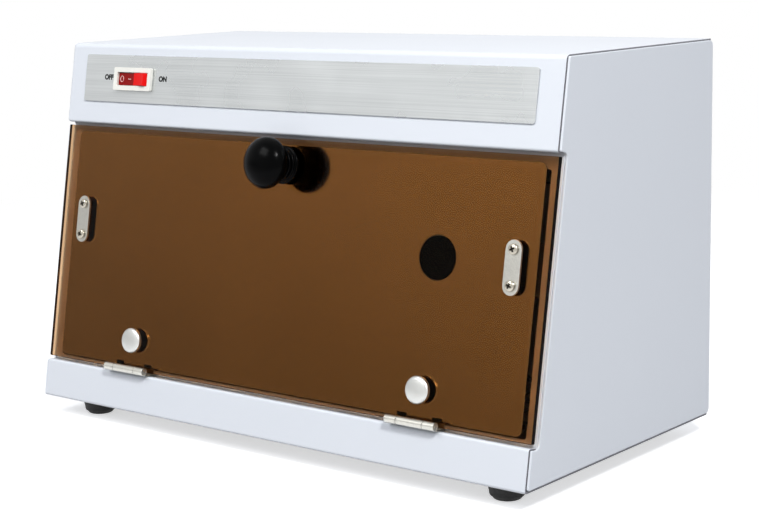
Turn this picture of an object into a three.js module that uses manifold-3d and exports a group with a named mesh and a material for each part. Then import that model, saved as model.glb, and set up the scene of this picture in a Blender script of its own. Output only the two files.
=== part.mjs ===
// A table-top ultraviolet cabinet for salon tools: a folded steel case whose front leans back,
// a bronze acrylic door that drops open on two hinges, and the lamp, ballast and switch inside it.
// Millimetres, +Z up. X runs across the cabinet, and the front faces -Y.
// The origin lies on the surface that the feet stand on, under the middle of the whole outline.

import * as THREE from 'three';
import { mergeVertices } from 'three/addons/utils/BufferGeometryUtils.js';
import Module from 'manifold-3d';

const wasm = await Module();
wasm.setup();

// Cabinet: sheet steel, measured up the leaning front where a size follows the slope.
const cabinetWidth = 370;
const cabinetHeight = 220;
const cabinetDepth = 190.5;
const frontLeanDegrees = 10.54;
const sheet = 1.2;
const foldInside = 0.3;
const topFoldInside = 2;
const seam = 0.5;
const fasciaHeight = 49.4;
const stripHeight = 23.6;
const recessDepth = 7;
const rearFlange = 12;
const sideFlange = 10;
const sideCorner = 3;
const stepCorner = 3;
const stepEdge = 1.2;
const panelInset = 0.5;
const seat = 0.3;
const overrun = 5;

// Back panel and its vents.
const backSheet = 1.2;
const backInset = 3;
const backCorner = 3;
const ventCount = 9;
const ventWidth = 3;
const ventHeight = 22;
const ventPitch = 9;
const ventBelowTop = 18;

// Frame of the door opening, behind the door. The opening follows the mirror backing: a little
// wider and deeper, and less high.
const frameFoot = 4;
const frameAboveLedge = 10;
const openingSideMargin = 1.7;
const openingBottomMargin = 0.8;
const openingTopDrop = 3.2;
const openingCorner = 1.5;

// Partition between the chamber and the electrics.
const electricsHeight = 52;
const ceilingFlange = 8;
const ceilingFrontGap = 0.8;
const wireHoleRadius = 4;

// Feet.
const footHeight = 12;
const footRadius = 11;
const footBottomRadius = 7.5;
const footRound = 3;
const footInsetX = 28;
const backFootInsetX = 36;
const footInsetY = 23;
const footBoreRadius = 2.2;
const footRecessRadius = 4.5;
const footRecessDepth = 6;

// Door: acrylic sheet, mirror backing and sight window.
const doorSideGap = 1.5;
const doorTopGap = 1.9;
const doorBottomGap = 2;
const doorThickness = 3;
const doorSetback = 1.6;
const doorCorner = 0.5;
const rimSide = 8.3;
const rimTop = 3.4;
const rimBottom = 2.3;
const backingThickness = 0.5;
const backingCorner = 3.5;
const sightInset = 71.6;
const sightBelowTop = 57.7;
const sightRadius = 12;
const sightThickness = 1;

// Knob.
const knobBelowTop = 15;
const knobHeight = 25.2;
const knobHeadRadius = 14.8;
const knobRimHeight = 15.6;
const knobUnderHeight = 11.2;
const knobNeckRadius = 9.4;
const knobBaseRadius = 11;
const knobBaseHeight = 1.6;
const knobRingRadius = 10.6;
const knobRingCount = 3;
const knobRingPitch = 3;
const knobRingWidth = 2;
const knobBoreRadius = 2.3;
const knobBoreDepth = 11;

// Strike plates at the sides of the door, and the magnets that face them.
const strikeInset = 21;
const strikeBelowTop = 58.4;
const strikeLength = 29;
const strikeWidth = 10;
const strikeThickness = 1.2;
const strikeScrewPitch = 19;
const magnetLength = 28;
const magnetDepth = 12;
const magnetPast = 5;
const magnetOpeningGap = 2;

// Hinges at the foot of the door, and the domed caps that hold their door leaves.
const hingeInset = 73.8;
const barrelLength = 33.2;
const barrelRadius = 2.4;
const barrelProud = 3.15;
const knuckleShare = 0.52;
const knuckleGap = 0.3;
const pinRadius = 1.1;
const pinClearance = 0.1;
const leafThickness = 0.5;
const leafNotchGap = 0.4;
const fixedLeafReach = 6;
const doorLeafTop = 52;
const reliefOffset = 12;
const reliefWidth = 6.6;
const reliefHeight = 2.2;
const capAboveBottom = 18;
const capRadius = 7.6;
const capRim = 2.2;
const capHeight = 3.7;
const capPostRadius = 2;

// Name plate and switch on the fascia.
const plateLeftMargin = 15;
const plateRightMargin = 16.5;
const plateHeight = 29;
const plateBelowTop = 21.3;
const plateThickness = 0.6;
const plateCorner = 1.5;
const switchInset = 58.9;
const switchBelowTop = 21.5;
const bezelWidth = 32.2;
const bezelHeight = 14;
const bezelThickness = 2;
const bezelCorner = 1;
const switchBodyWidth = 29.6;
const switchBodyHeight = 10.8;
const switchBodyDepth = 20;
const switchCutGap = 0.5;
const windowWidth = 26.4;
const windowHeight = 8.2;
const wellDepth = 11;
const bladeWidth = 4.8;
const bladeThickness = 0.8;
const bladeLength = 8;
const bladePitch = 10;
const bladeCount = 3;

// Rocker: a two-armed key that tips about an axis running up the slope.
const rockerClearance = 0.3;
const rockerTiltDegrees = 7;
const rockerPivotDepth = 1;
const rockerEndHeight = 5;
const rockerMiddleHeight = 3.6;
const rockerSkirt = 2;
const rockerBellyDepth = 4;
const rockerBellyWidth = 8;
const trunnionRadius = 1;
const trunnionLength = 0.7;
const trunnionClearance = 0.12;

// Lamp, its caps and holders, and the reflector over it.
const lampSideRoom = 41;
const lampTubeRadius = 7.6;
const lampCapRadius = 8.2;
const lampCapLength = 12;
const lampCapEnd = 2;
const lampPinRadius = 1.15;
const lampPinLength = 6.6;
const lampPinPitch = 5;
const lampDrop = 18;
const lampFromBack = 78.5;
const holderThickness = 9;
const holderWidth = 22;
const holderChin = 12;
const holderSlot = 3.2;
const reflectorEndGap = 7;
const reflectorSheet = 0.8;
const reflectorFlat = 30;
const reflectorWing = 24;
const reflectorAngleDegrees = 32;

// Ballast, starter, terminal block and wires above the partition.
const ballastX = 45;
const ballastLength = 110;
const ballastWidth = 42;
const ballastHeight = 28;
const ballastFootReach = 12;
const ballastFootThickness = 2;
const ballastHoleRadius = 2.2;
const ballastCorner = 4;
const starterX = -52;
const starterRadius = 10.7;
const starterLength = 34;
const starterRound = 2;
const starterNeckRadius = 8;
const starterNeckLength = 4;
const socketRadius = 14;
const socketLength = 14;
const socketFootWidth = 32;
const socketFootHeight = 4;
const socketCupGap = 0.4;
const terminalX = -112;
const terminalFromBack = 44.5;
const terminalLength = 34;
const terminalWidth = 18;
const terminalFootHeight = 9;
const terminalHeight = 15;
const terminalPoles = 3;
const terminalScrewRadius = 2;
const terminalScrewDepth = 5;
const wireRadius = 1.2;
const wireStandOff = 14;

// Cable gland at the back, for the mains lead.
const glandInset = 45;
const glandBelowTop = 25;
const glandBoreRadius = 3.6;
const glandThreadRadius = 7.6;
const glandThreadLength = 11;
const glandHexAcross = 19;
const glandHexLength = 7;
const glandDomeLength = 9;
const glandDomeRadius = 5.6;
const glandHoleGap = 0.3;
const locknutAcross = 22;
const locknutLength = 4;

// Wire rack on the chamber floor.
const rackSideRoom = 27;
const rackFrontRoom = 42;
const rackBackRoom = 16.5;
const rackRodRadius = 1.6;
const rackWireRadius = 1.2;
const rackWireCount = 13;
const rackLegHeight = 8;
const rackLegInset = 20;
const rackRunnerCount = 2;
const rackOverhang = 2;
const rackEndRiseShare = 0.4;
const rackWireRiseShare = 0.8;

// Screws: head radius, head height and shank radius.
const strikeScrewHead = 2.9;
const strikeScrewHeight = 1.6;
const strikeScrewShank = 1.4;
const strikeScrewLength = 4.2;
const caseScrewHead = 3.4;
const caseScrewHeight = 2.2;
const caseScrewShank = 1.6;
const caseScrewLength = 7;
const caseScrewInset = 9;
const footScrewHead = 3.8;
const footScrewHeight = 2.4;
const footScrewShank = 1.9;
const footScrewPast = 4;
const knobScrewHead = 4;
const knobScrewHeight = 1;
const knobScrewShank = 1.9;
const knobScrewPast = 9;
const crossSlotWidth = 0.9;
const crossSlotShare = 0.62;
const crossSlotDepth = 0.9;
const screwHoleGap = 0.3;
const headRoundShare = 0.55;

// Facets round a full turn.
const fineFacets = 32;
const roundFacets = 24;
const smallFacets = 14;
const wireFacets = 6;
const foldSteps = 4;
const cornerSteps = 4;
const wireSteps = 22;

// Places worked out from the sizes above. Body coordinates start at the foot of the leaning front,
// on the underside of the case, and front coordinates (x, out, up) follow the leaning front.
const lean = THREE.MathUtils.degToRad(frontLeanDegrees);
const slopeLength = cabinetHeight / Math.cos(lean);
const fasciaBottom = slopeLength - fasciaHeight;
const wrapInset = sheet + seam;
const rearCornerReach = wrapInset + sideCorner - seat;
const halfWidth = cabinetWidth / 2;
const insideHalfWidth = halfWidth - sheet - seat;
const doorHalf = halfWidth - doorSideGap;
const doorBottom = stripHeight + doorBottomGap;
const doorTop = fasciaBottom - doorTopGap;
const backingHalf = doorHalf - rimSide;
const backingBottom = doorBottom + rimBottom;
const backingTop = doorTop - rimTop;
const sightX = doorHalf - sightInset;
const sightUp = doorTop - sightBelowTop;
const knobUp = doorTop - knobBelowTop;
const strikeX = doorHalf - strikeInset;
const strikeUp = doorTop - strikeBelowTop;
const hingeX = doorHalf - hingeInset;
const capUp = doorBottom + capAboveBottom;
const plateUp = slopeLength - plateBelowTop;
const switchX = switchInset - halfWidth;
const switchUp = slopeLength - switchBelowTop;
const doorBack = -(doorSetback + doorThickness);
const backingFront = doorBack - seat;
const backingBack = backingFront - backingThickness;
const doorLeafFront = backingBack - seat;
const fixedLeafBottom = stripHeight + seat;
const barrelUp = fixedLeafBottom + barrelRadius;
const doorLeafBottom = fixedLeafBottom + leafThickness + seat;
const plateFront = seat + plateThickness;
const bezelBack = plateFront + seat;
const bezelFront = bezelBack + bezelThickness;
const rockerPivotOut = bezelFront - rockerPivotDepth - rockerMiddleHeight;
const ceilingHeight = cabinetHeight - electricsHeight;
const ceilingTop = ceilingHeight + sheet;
const deckHeight = ceilingTop + seat;
const lampLength = cabinetWidth - 2 * lampSideRoom;
const lampY = cabinetDepth - lampFromBack;
const lampUp = ceilingHeight - lampDrop;
const terminalY = cabinetDepth - terminalFromBack;
const rackLength = cabinetWidth - 2 * rackSideRoom;
const rackWidth = cabinetDepth - rackFrontRoom - rackBackRoom;
const rackY = rackFrontRoom + rackWidth / 2;
const glandX = glandInset - halfWidth;
const glandUp = cabinetHeight - glandBelowTop;
const glandBackY = cabinetDepth + seat + backSheet;
const glandEndY = glandBackY + seat + glandHexLength + glandDomeLength;
const barrelFrontY = onSlope(barrelProud, barrelUp).x - barrelRadius;
const originY = (barrelFrontY + glandEndY) / 2;

const finishes = {
  whitePaint: finish(0xe9eef4, 0.42, 0.0),
  bronzeAcrylic: finish(0x7a5230, 0.08, 0.0),
  mirrorFilm: finish(0xb9b6ae, 0.08, 1.0),
  sightGlass: finish(0x050505, 0.1, 0.0),
  blackPlastic: finish(0x0c0c0e, 0.2, 0.0),
  brushedPlate: finish(0xc9cdcb, 0.38, 1.0),
  stainless: finish(0xc2c1b8, 0.35, 1.0),
  chrome: finish(0xdedede, 0.1, 1.0),
  creamPlastic: finish(0xf3f0e6, 0.35, 0.0),
  redPlastic: finish(0xd0121c, 0.25, 0.0),
  rubber: finish(0x101010, 0.8, 0.0),
  ferrite: finish(0x3a3a3c, 0.6, 0.1),
  quartz: finish(0xe9f2f5, 0.05, 0.0),
  aluminium: finish(0xd8dadb, 0.3, 1.0),
  ballastSteel: finish(0x9aa0a3, 0.45, 0.8),
  greyPlastic: finish(0xb9bbbd, 0.5, 0.0),
  wireInsulation: finish(0x2b3f8c, 0.5, 0.0),
};

function finish(color, roughness, metalness) {
  return new THREE.MeshStandardMaterial({ color, roughness, metalness });
}

// A point of the side view (y, z) that lies `out` in front of the leaning front and `up` the slope.
function onSlope(out, up) {
  return new THREE.Vector2(
    up * Math.sin(lean) - out * Math.cos(lean),
    up * Math.cos(lean) + out * Math.sin(lean),
  );
}

// Solids.

// Closes a geometry into a manifold solid, dropping slivers and turning its faces outwards.
function solidOf(geometry) {
  const bare = geometry.clone();
  bare.deleteAttribute('normal');
  bare.deleteAttribute('uv');
  const merged = mergeVertices(bare, mergeTolerance(bare));
  const corners = merged.index.array;
  const kept = [];
  for (let i = 0; i < corners.length; i += 3) {
    const [a, b, c] = corners.slice(i, i + 3);
    if (a !== b && b !== c && c !== a) kept.push(a, b, c);
  }
  if (signedVolume(merged, kept) < 0) kept.reverse();
  const vertProperties = new Float32Array(merged.attributes.position.array);
  const triVerts = new Uint32Array(kept);
  return new wasm.Manifold(new wasm.Mesh({ numProp: 3, vertProperties, triVerts }));
}

function mergeTolerance(geometry) {
  geometry.computeBoundingSphere();
  return geometry.boundingSphere.radius * 1e-6;
}

function signedVolume(geometry, corners) {
  const position = geometry.attributes.position;
  const points = [new THREE.Vector3(), new THREE.Vector3(), new THREE.Vector3()];
  let volume = 0;
  for (let i = 0; i < corners.length; i += 3) {
    points.forEach((point, k) => point.fromBufferAttribute(position, corners[i + k]));
    volume += points[0].dot(points[1].clone().cross(points[2])) / 6;
  }
  return volume;
}

function joined(first, ...rest) {
  return rest.reduce((solid, other) => solid.add(other), first);
}

function cutBy(first, ...tools) {
  return tools.reduce((solid, tool) => solid.subtract(tool), first);
}

function geometryOf(solid) {
  const mesh = solid.getMesh();
  const geometry = new THREE.BufferGeometry();
  geometry.setAttribute('position', new THREE.BufferAttribute(mesh.vertProperties, 3));
  geometry.setIndex(new THREE.BufferAttribute(mesh.triVerts, 1));
  geometry.computeVertexNormals();
  return geometry;
}

function addPiece(parent, name, solid, material, place = [0, 0, 0]) {
  const mesh = new THREE.Mesh(geometryOf(solid), material);
  mesh.name = name;
  mesh.position.set(...place);
  parent.add(mesh);
  return mesh;
}

// Shapes.

// A box between two corners.
function block(low, high) {
  const size = high.map((value, i) => value - low[i]);
  const middle = high.map((value, i) => (value + low[i]) / 2);
  return solidOf(new THREE.BoxGeometry(...size).translate(...middle));
}

// A solid turned about +Y from (radius, height) pairs.
function turned(profile, facets) {
  const points = profile.map(([radius, height]) => new THREE.Vector2(radius, height));
  return new THREE.LatheGeometry(points, facets);
}

function turnedUp(profile, facets) {
  return solidOf(turned(profile, facets).rotateX(Math.PI / 2));
}

function turnedOut(profile, facets) {
  return solidOf(turned(profile, facets).rotateX(Math.PI));
}

function turnedBack(profile, facets) {
  return solidOf(turned(profile, facets));
}

function turnedAcross(profile, facets) {
  return solidOf(turned(profile, facets).rotateZ(-Math.PI / 2));
}

// A plain round bar or bore: its profile, from one end to the other.
function rodProfile(radius, from, to) {
  return [[0, from], [radius, from], [radius, to], [0, to]];
}

function extruded(outline, depth) {
  return new THREE.ExtrudeGeometry(new THREE.Shape(outline), { depth, bevelEnabled: false });
}

// Extrudes a side view (y, z) across the cabinet, from x0 to x1.
function acrossPrism(outline, x0, x1) {
  const geometry = extruded(outline, x1 - x0);
  const basis = new THREE.Matrix4().makeBasis(
    new THREE.Vector3(0, 1, 0),
    new THREE.Vector3(0, 0, 1),
    new THREE.Vector3(1, 0, 0),
  );
  return solidOf(geometry.applyMatrix4(basis).translate(x0, 0, 0));
}

// Extrudes a front view (x, up) towards -Y, from y = 0 to y = -thickness.
function facingPlate(outline, thickness) {
  return solidOf(extruded(outline, thickness).rotateX(Math.PI / 2));
}

// Replaces a corner by an arc of the given radius.
function roundCorner(before, corner, after, radius, steps) {
  const into = corner.clone().sub(before).normalize();
  const away = after.clone().sub(corner).normalize();
  const turn = Math.atan2(into.cross(away), into.dot(away));
  if (radius === 0) return [corner.clone()];
  const reach = radius * Math.tan(Math.abs(turn) / 2);
  const start = corner.clone().addScaledVector(into, -reach);
  const side = Math.sign(turn);
  const centre = start.clone().add(new THREE.Vector2(-into.y, into.x).multiplyScalar(side * radius));
  const points = [];
  for (let i = 0; i <= steps; i += 1) {
    points.push(start.clone().rotateAround(centre, (turn * i) / steps));
  }
  return points;
}

// A closed outline with every corner rounded by its own radius.
function roundedOutline(corners, radii) {
  const count = corners.length;
  return corners.flatMap((corner, i) => {
    const before = corners[(i + count - 1) % count];
    const after = corners[(i + 1) % count];
    return roundCorner(before, corner, after, radii[i], cornerSteps);
  });
}

function roundedRectangle(x0, x1, up0, up1, radius) {
  const corners = [
    new THREE.Vector2(x0, up0),
    new THREE.Vector2(x1, up0),
    new THREE.Vector2(x1, up1),
    new THREE.Vector2(x0, up1),
  ];
  return roundedOutline(corners, corners.map(() => radius));
}

// An outline with round ends, centred, with its long side up.
function stadium(width, length) {
  return roundedRectangle(-width / 2, width / 2, -length / 2, length / 2, width / 2);
}

function hexagon(acrossFlats) {
  const radius = acrossFlats / 2 / Math.cos(Math.PI / 6);
  const points = [];
  for (let i = 0; i < 6; i += 1) {
    const angle = (i * Math.PI) / 3;
    points.push(new THREE.Vector2(radius * Math.cos(angle), radius * Math.sin(angle)));
  }
  return points;
}

// The section of a folded sheet. The path runs along one face, and the sheet lies to its left.
function foldedSheet(path, thickness, insideRadii) {
  const far = offsetLeft(path, thickness);
  const near = [];
  const back = [];
  path.forEach((corner, i) => {
    if (i === 0 || i === path.length - 1) {
      near.push(corner);
      back.push(far[i]);
      return;
    }
    const turn = turnAt(path, i);
    const inside = insideRadii[i - 1];
    const outside = inside + thickness;
    const nearRadius = turn > 0 ? outside : inside;
    const farRadius = turn > 0 ? inside : outside;
    near.push(...roundCorner(path[i - 1], corner, path[i + 1], nearRadius, foldSteps));
    back.push(...roundCorner(far[i - 1], far[i], far[i + 1], farRadius, foldSteps));
  });
  return near.concat(back.reverse());
}

function turnAt(path, i) {
  const into = path[i].clone().sub(path[i - 1]);
  const away = path[i + 1].clone().sub(path[i]);
  return into.cross(away);
}

function leftNormal(from, to) {
  const along = to.clone().sub(from).normalize();
  return new THREE.Vector2(-along.y, along.x);
}

function offsetLeft(path, distance) {
  return path.map((point, i) => {
    const before = i > 0 ? leftNormal(path[i - 1], point) : leftNormal(point, path[i + 1]);
    const after = i < path.length - 1 ? leftNormal(point, path[i + 1]) : before;
    const mitre = before.clone().add(after).normalize();
    return point.clone().addScaledVector(mitre, distance / mitre.dot(after));
  });
}

// A wire or rod of constant section along a smooth curve through the points.
function tubeAlong(points, radius, steps) {
  const curve = new THREE.CatmullRomCurve3(points.map((point) => new THREE.Vector3(...point)));
  const section = [];
  for (let i = 0; i < wireFacets; i += 1) {
    const angle = (i * 2 * Math.PI) / wireFacets;
    section.push(new THREE.Vector2(radius * Math.cos(angle), radius * Math.sin(angle)));
  }
  const settings = { steps, bevelEnabled: false, extrudePath: curve };
  return solidOf(new THREE.ExtrudeGeometry(new THREE.Shape(section), settings));
}

// Turns a solid of front coordinates back to the lean of the front.
function leanedBack(solid) {
  return solid.rotate([-frontLeanDegrees, 0, 0]);
}

// Fasteners.

// A pan head screw turned about +Y: the head's top faces +Y and its underside is at 0.
function panScrewProfile(headRadius, headHeight, shankRadius, shankLength) {
  return [
    [0, -shankLength],
    [shankRadius * headRoundShare, -shankLength],
    [shankRadius, -shankLength + shankRadius],
    [shankRadius, 0],
    [headRadius, 0],
    [headRadius, headHeight * (1 - headRoundShare)],
    [headRadius * (1 + headRoundShare) / 2, headHeight * (1 + headRoundShare) / 2],
    [headRadius * headRoundShare, headHeight],
    [0, headHeight],
  ];
}

// The crossed slot of a screw head whose top lies at `top` along +Y.
function crossSlot(headRadius, top, depth) {
  const reach = headRadius * crossSlotShare;
  const half = crossSlotWidth / 2;
  const first = block([-reach, top - depth, -half], [reach, top + overrun, half]);
  const second = block([-half, top - depth, -reach], [half, top + overrun, reach]);
  return joined(first, second);
}

function panScrew(headRadius, headHeight, shankRadius, shankLength) {
  const profile = panScrewProfile(headRadius, headHeight, shankRadius, shankLength);
  const depth = Math.min(crossSlotDepth, headHeight * headRoundShare);
  return cutBy(turnedBack(profile, smallFacets), crossSlot(headRadius, headHeight, depth));
}

// Case.

function topCover() {
  const path = [
    new THREE.Vector2(cabinetDepth, cabinetHeight),
    onSlope(0, slopeLength),
    onSlope(0, fasciaBottom),
    onSlope(seat - recessDepth, fasciaBottom),
  ];
  const section = foldedSheet(path, sheet, [topFoldInside, foldInside]);
  const wrap = acrossPrism(section, -insideHalfWidth, insideHalfWidth);
  const flangeHalf = halfWidth - sideFlange - seat;
  const flange = block(
    [-flangeHalf, cabinetDepth - sheet, cabinetHeight - rearFlange],
    [flangeHalf, cabinetDepth, cabinetHeight],
  );
  const corners = block(
    [-insideHalfWidth, cabinetDepth - sheet, cabinetHeight - rearCornerReach],
    [insideHalfWidth, cabinetDepth, cabinetHeight],
  );
  return cutBy(joined(wrap, flange, corners), leanedBack(switchCut()), ...caseScrewBores());
}

function basePan() {
  const path = [
    onSlope(seat - recessDepth, stripHeight),
    onSlope(0, stripHeight),
    onSlope(0, 0),
    new THREE.Vector2(cabinetDepth, 0),
  ];
  const section = foldedSheet(path, sheet, [foldInside, foldInside]);
  const wrap = acrossPrism(section, -insideHalfWidth, insideHalfWidth);
  const flangeHalf = halfWidth - sideFlange - seat;
  const flange = block([-flangeHalf, cabinetDepth - sheet, 0], [flangeHalf, cabinetDepth, rearFlange]);
  const corners = block(
    [-insideHalfWidth, cabinetDepth - sheet, 0],
    [insideHalfWidth, cabinetDepth, rearCornerReach],
  );
  const holes = footPlaces().map(({ x, y }) => {
    const bore = turnedUp(rodProfile(footScrewShank + screwHoleGap, -overrun, overrun), smallFacets);
    return bore.translate([x, y, 0]);
  });
  return cutBy(joined(wrap, flange, corners), ...holes, ...caseScrewBores());
}

// The outline of a side panel, which lies against the ends of the folded sheets. It is set in from
// their outer faces and stepped back beside the door, with a soft curve at each step.
function sideOutline() {
  const corners = [
    slopePointAtHeight(-panelInset, wrapInset),
    new THREE.Vector2(cabinetDepth, wrapInset),
    new THREE.Vector2(cabinetDepth, cabinetHeight - panelInset),
    slopePointAtHeight(-panelInset, cabinetHeight - panelInset),
    onSlope(-panelInset, fasciaBottom + panelInset),
    onSlope(-recessDepth, fasciaBottom + panelInset),
    onSlope(-recessDepth, stripHeight - panelInset),
    onSlope(-panelInset, stripHeight - panelInset),
  ];
  const steps = [stepEdge, stepCorner, stepCorner, stepEdge];
  const radii = [sheet, sideCorner, sideCorner, sheet, ...steps];
  return roundedOutline(corners, radii);
}

function slopePointAtHeight(out, height) {
  return onSlope(out, (height - out * Math.sin(lean)) / Math.cos(lean));
}

// A side panel for the right-hand side; the left one is its mirror image.
function sidePanel(sign) {
  const plate = acrossPrism(sideOutline(), halfWidth - sheet, halfWidth);
  const low = halfWidth - sideFlange;
  const rear = block(
    [low, cabinetDepth - sheet, wrapInset + sideCorner],
    [halfWidth - sheet / 2, cabinetDepth, cabinetHeight - wrapInset - sideCorner],
  );
  const floorFlange = block(
    [low, flangeStartY(wrapInset + sheet), wrapInset],
    [halfWidth - sheet / 2, cabinetDepth - rearFlange, wrapInset + sheet],
  );
  const roofFlange = block(
    [low, flangeStartY(cabinetHeight - wrapInset), cabinetHeight - wrapInset - sheet],
    [halfWidth - sheet / 2, cabinetDepth - rearFlange, cabinetHeight - wrapInset],
  );
  const right = cutBy(joined(plate, rear, floorFlange, roofFlange), ...caseScrewBores());
  return sign > 0 ? right : right.mirror([1, 0, 0]);
}

// Where a side panel's inner flanges may start, clear of the door frame.
function flangeStartY(height) {
  return slopePointAtHeight(-(recessDepth + sheet), height).x + overrun;
}

function backPanel() {
  const half = halfWidth - backInset;
  const outline = roundedRectangle(-half, half, backInset, cabinetHeight - backInset, backCorner);
  const plate = facingPlate(outline, backSheet);
  const vents = [];
  for (let i = 0; i < ventCount; i += 1) {
    const x = (i - (ventCount - 1) / 2) * ventPitch;
    const slot = facingPlate(stadium(ventWidth, ventHeight), backSheet + 2 * overrun);
    vents.push(slot.translate([x, overrun, cabinetHeight - ventBelowTop - ventHeight / 2]));
  }
  const glandHole = turnedBack(rodProfile(glandThreadRadius + glandHoleGap, -overrun, overrun), roundFacets);
  const screwHoles = caseScrewBores().map((bore) => bore.translate([0, -cabinetDepth, 0]));
  return cutBy(plate, ...vents, glandHole.translate([glandX, 0, glandUp]), ...screwHoles);
}

// The four screws of the back panel go into the rear flanges of the side panels.
function caseScrewPlaces() {
  const x = halfWidth - sheet - caseScrewInset / 2;
  const low = wrapInset + sideCorner + caseScrewInset;
  const high = cabinetHeight - low;
  return [
    { x: -x, z: low },
    { x, z: low },
    { x: -x, z: high },
    { x, z: high },
  ];
}

function caseScrewBores() {
  return caseScrewPlaces().map(({ x, z }) => {
    const bore = turnedBack(rodProfile(caseScrewShank + screwHoleGap, -overrun, overrun), smallFacets);
    return bore.translate([x, cabinetDepth, z]);
  });
}

function doorFrame() {
  const frameTop = fasciaBottom + frameAboveLedge;
  const outer = roundedRectangle(-insideHalfWidth, insideHalfWidth, frameFoot, frameTop, 0);
  const holeHalf = backingHalf + openingSideMargin;
  const low = backingBottom - openingBottomMargin;
  const hole = roundedRectangle(-holeHalf, holeHalf, low, backingTop - openingTopDrop, openingCorner);
  const plate = facingPlate(outer, sheet);
  const opening = facingPlate(hole, sheet + 2 * overrun).translate([0, overrun, 0]);
  return cutBy(plate, opening);
}

function chamberCeiling() {
  const half = insideHalfWidth;
  const frontY = slopePointAtHeight(-(recessDepth + sheet), ceilingTop + ceilingFlange).x + ceilingFrontGap;
  const backY = cabinetDepth - sheet - seat;
  const deck = block([-half, frontY, ceilingHeight], [half, backY, ceilingTop]);
  const left = block([-half, frontY, ceilingHeight], [-half + sheet, backY, ceilingTop + ceilingFlange]);
  const right = block([half - sheet, frontY, ceilingHeight], [half, backY, ceilingTop + ceilingFlange]);
  const bores = [-1, 1].map((sign) => {
    const bore = turnedUp(rodProfile(wireHoleRadius, -overrun, overrun), roundFacets);
    return bore.translate([sign * wireHoleX(), lampY, ceilingHeight]);
  });
  return cutBy(joined(deck, left, right), ...bores);
}

// The lamp wires come down just outside the lamp holders.
function wireHoleX() {
  return lampLength / 2 + seat + holderThickness + wireHoleRadius;
}

// Feet.

function footPlaces() {
  const x = halfWidth - footInsetX;
  const backX = halfWidth - backFootInsetX;
  const back = cabinetDepth - footInsetY;
  return [
    { name: 'front_left', x: -x, y: footInsetY },
    { name: 'front_right', x, y: footInsetY },
    { name: 'back_left', x: -backX, y: back },
    { name: 'back_right', x: backX, y: back },
  ];
}

// A rubber foot hanging below the case, its screw head sunk in its underside.
function rubberFoot() {
  const bottom = -footHeight;
  const shoulder = bottom + footRound;
  const profile = [
    [footBoreRadius, -seat],
    [footRadius, -seat],
    [footBottomRadius + footRound * (1 - headRoundShare / 2), shoulder],
    [footBottomRadius, bottom],
    [footRecessRadius, bottom],
    [footRecessRadius, bottom + footRecessDepth],
    [footBoreRadius, bottom + footRecessDepth],
    [footBoreRadius, -seat],
  ];
  return turnedUp(profile, fineFacets);
}

function footScrew() {
  const headUnder = footHeight - footRecessDepth + seat;
  const screw = panScrew(footScrewHead, footScrewHeight, footScrewShank, headUnder + footScrewPast);
  return screw.rotate([-90, 0, 0]).translate([0, 0, -headUnder]);
}

// Front trim and switch.

function namePlate() {
  const low = plateUp - plateHeight / 2;
  const left = plateLeftMargin - halfWidth;
  const right = halfWidth - plateRightMargin;
  const outline = roundedRectangle(left, right, low, low + plateHeight, plateCorner);
  return cutBy(facingPlate(outline, plateThickness), switchCut());
}

// The cut through the name plate and the fascia for the switch body, in front coordinates.
function switchCut() {
  const half = switchBodyWidth / 2 + switchCutGap;
  const tall = switchBodyHeight / 2 + switchCutGap;
  return block(
    [switchX - half, -overrun, switchUp - tall],
    [switchX + half, sheet + overrun, switchUp + tall],
  );
}

function switchHousing() {
  const half = bezelWidth / 2;
  const tall = bezelHeight / 2;
  const bezel = facingPlate(roundedRectangle(-half, half, -tall, tall, bezelCorner), bezelThickness);
  const body = block(
    [-switchBodyWidth / 2, -bezelThickness / 2, -switchBodyHeight / 2],
    [switchBodyWidth / 2, switchBodyDepth, switchBodyHeight / 2],
  );
  const well = block(
    [-windowWidth / 2, -bezelThickness - overrun, -windowHeight / 2],
    [windowWidth / 2, wellDepth - bezelThickness, windowHeight / 2],
  );
  const reach = windowHeight / 2 + trunnionLength + seat;
  const socket = turnedUp(rodProfile(trunnionRadius + trunnionClearance, -reach, reach), smallFacets);
  const pivot = socket.translate([0, bezelBack - rockerPivotOut, 0]);
  return cutBy(joined(bezel, body, ...switchBlades()), well, pivot);
}

function switchBlades() {
  const blades = [];
  for (let i = 0; i < bladeCount; i += 1) {
    const x = (i - (bladeCount - 1) / 2) * bladePitch;
    blades.push(
      block(
        [x - bladeThickness / 2, switchBodyDepth - overrun, -bladeWidth / 2],
        [x + bladeThickness / 2, switchBodyDepth + bladeLength, bladeWidth / 2],
      ),
    );
  }
  return blades;
}

// The rocker about its own pivot, level: x across, y inwards. Its ends are arcs about the pivot.
function rockerOutline() {
  const reach = windowWidth / 2 - rockerClearance;
  const points = [];
  const from = Math.asin(-rockerSkirt / reach);
  const to = Math.asin(rockerEndHeight / reach);
  for (let i = 0; i <= cornerSteps; i += 1) {
    const angle = from + ((to - from) * i) / cornerSteps;
    points.push(new THREE.Vector2(reach * Math.cos(angle), reach * Math.sin(angle)));
  }
  points.push(new THREE.Vector2(0, rockerMiddleHeight));
  for (let i = cornerSteps; i >= 0; i -= 1) {
    const angle = from + ((to - from) * i) / cornerSteps;
    points.push(new THREE.Vector2(-reach * Math.cos(angle), reach * Math.sin(angle)));
  }
  points.push(new THREE.Vector2(-rockerBellyWidth / 2, -rockerBellyDepth));
  points.push(new THREE.Vector2(rockerBellyWidth / 2, -rockerBellyDepth));
  return points;
}

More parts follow.
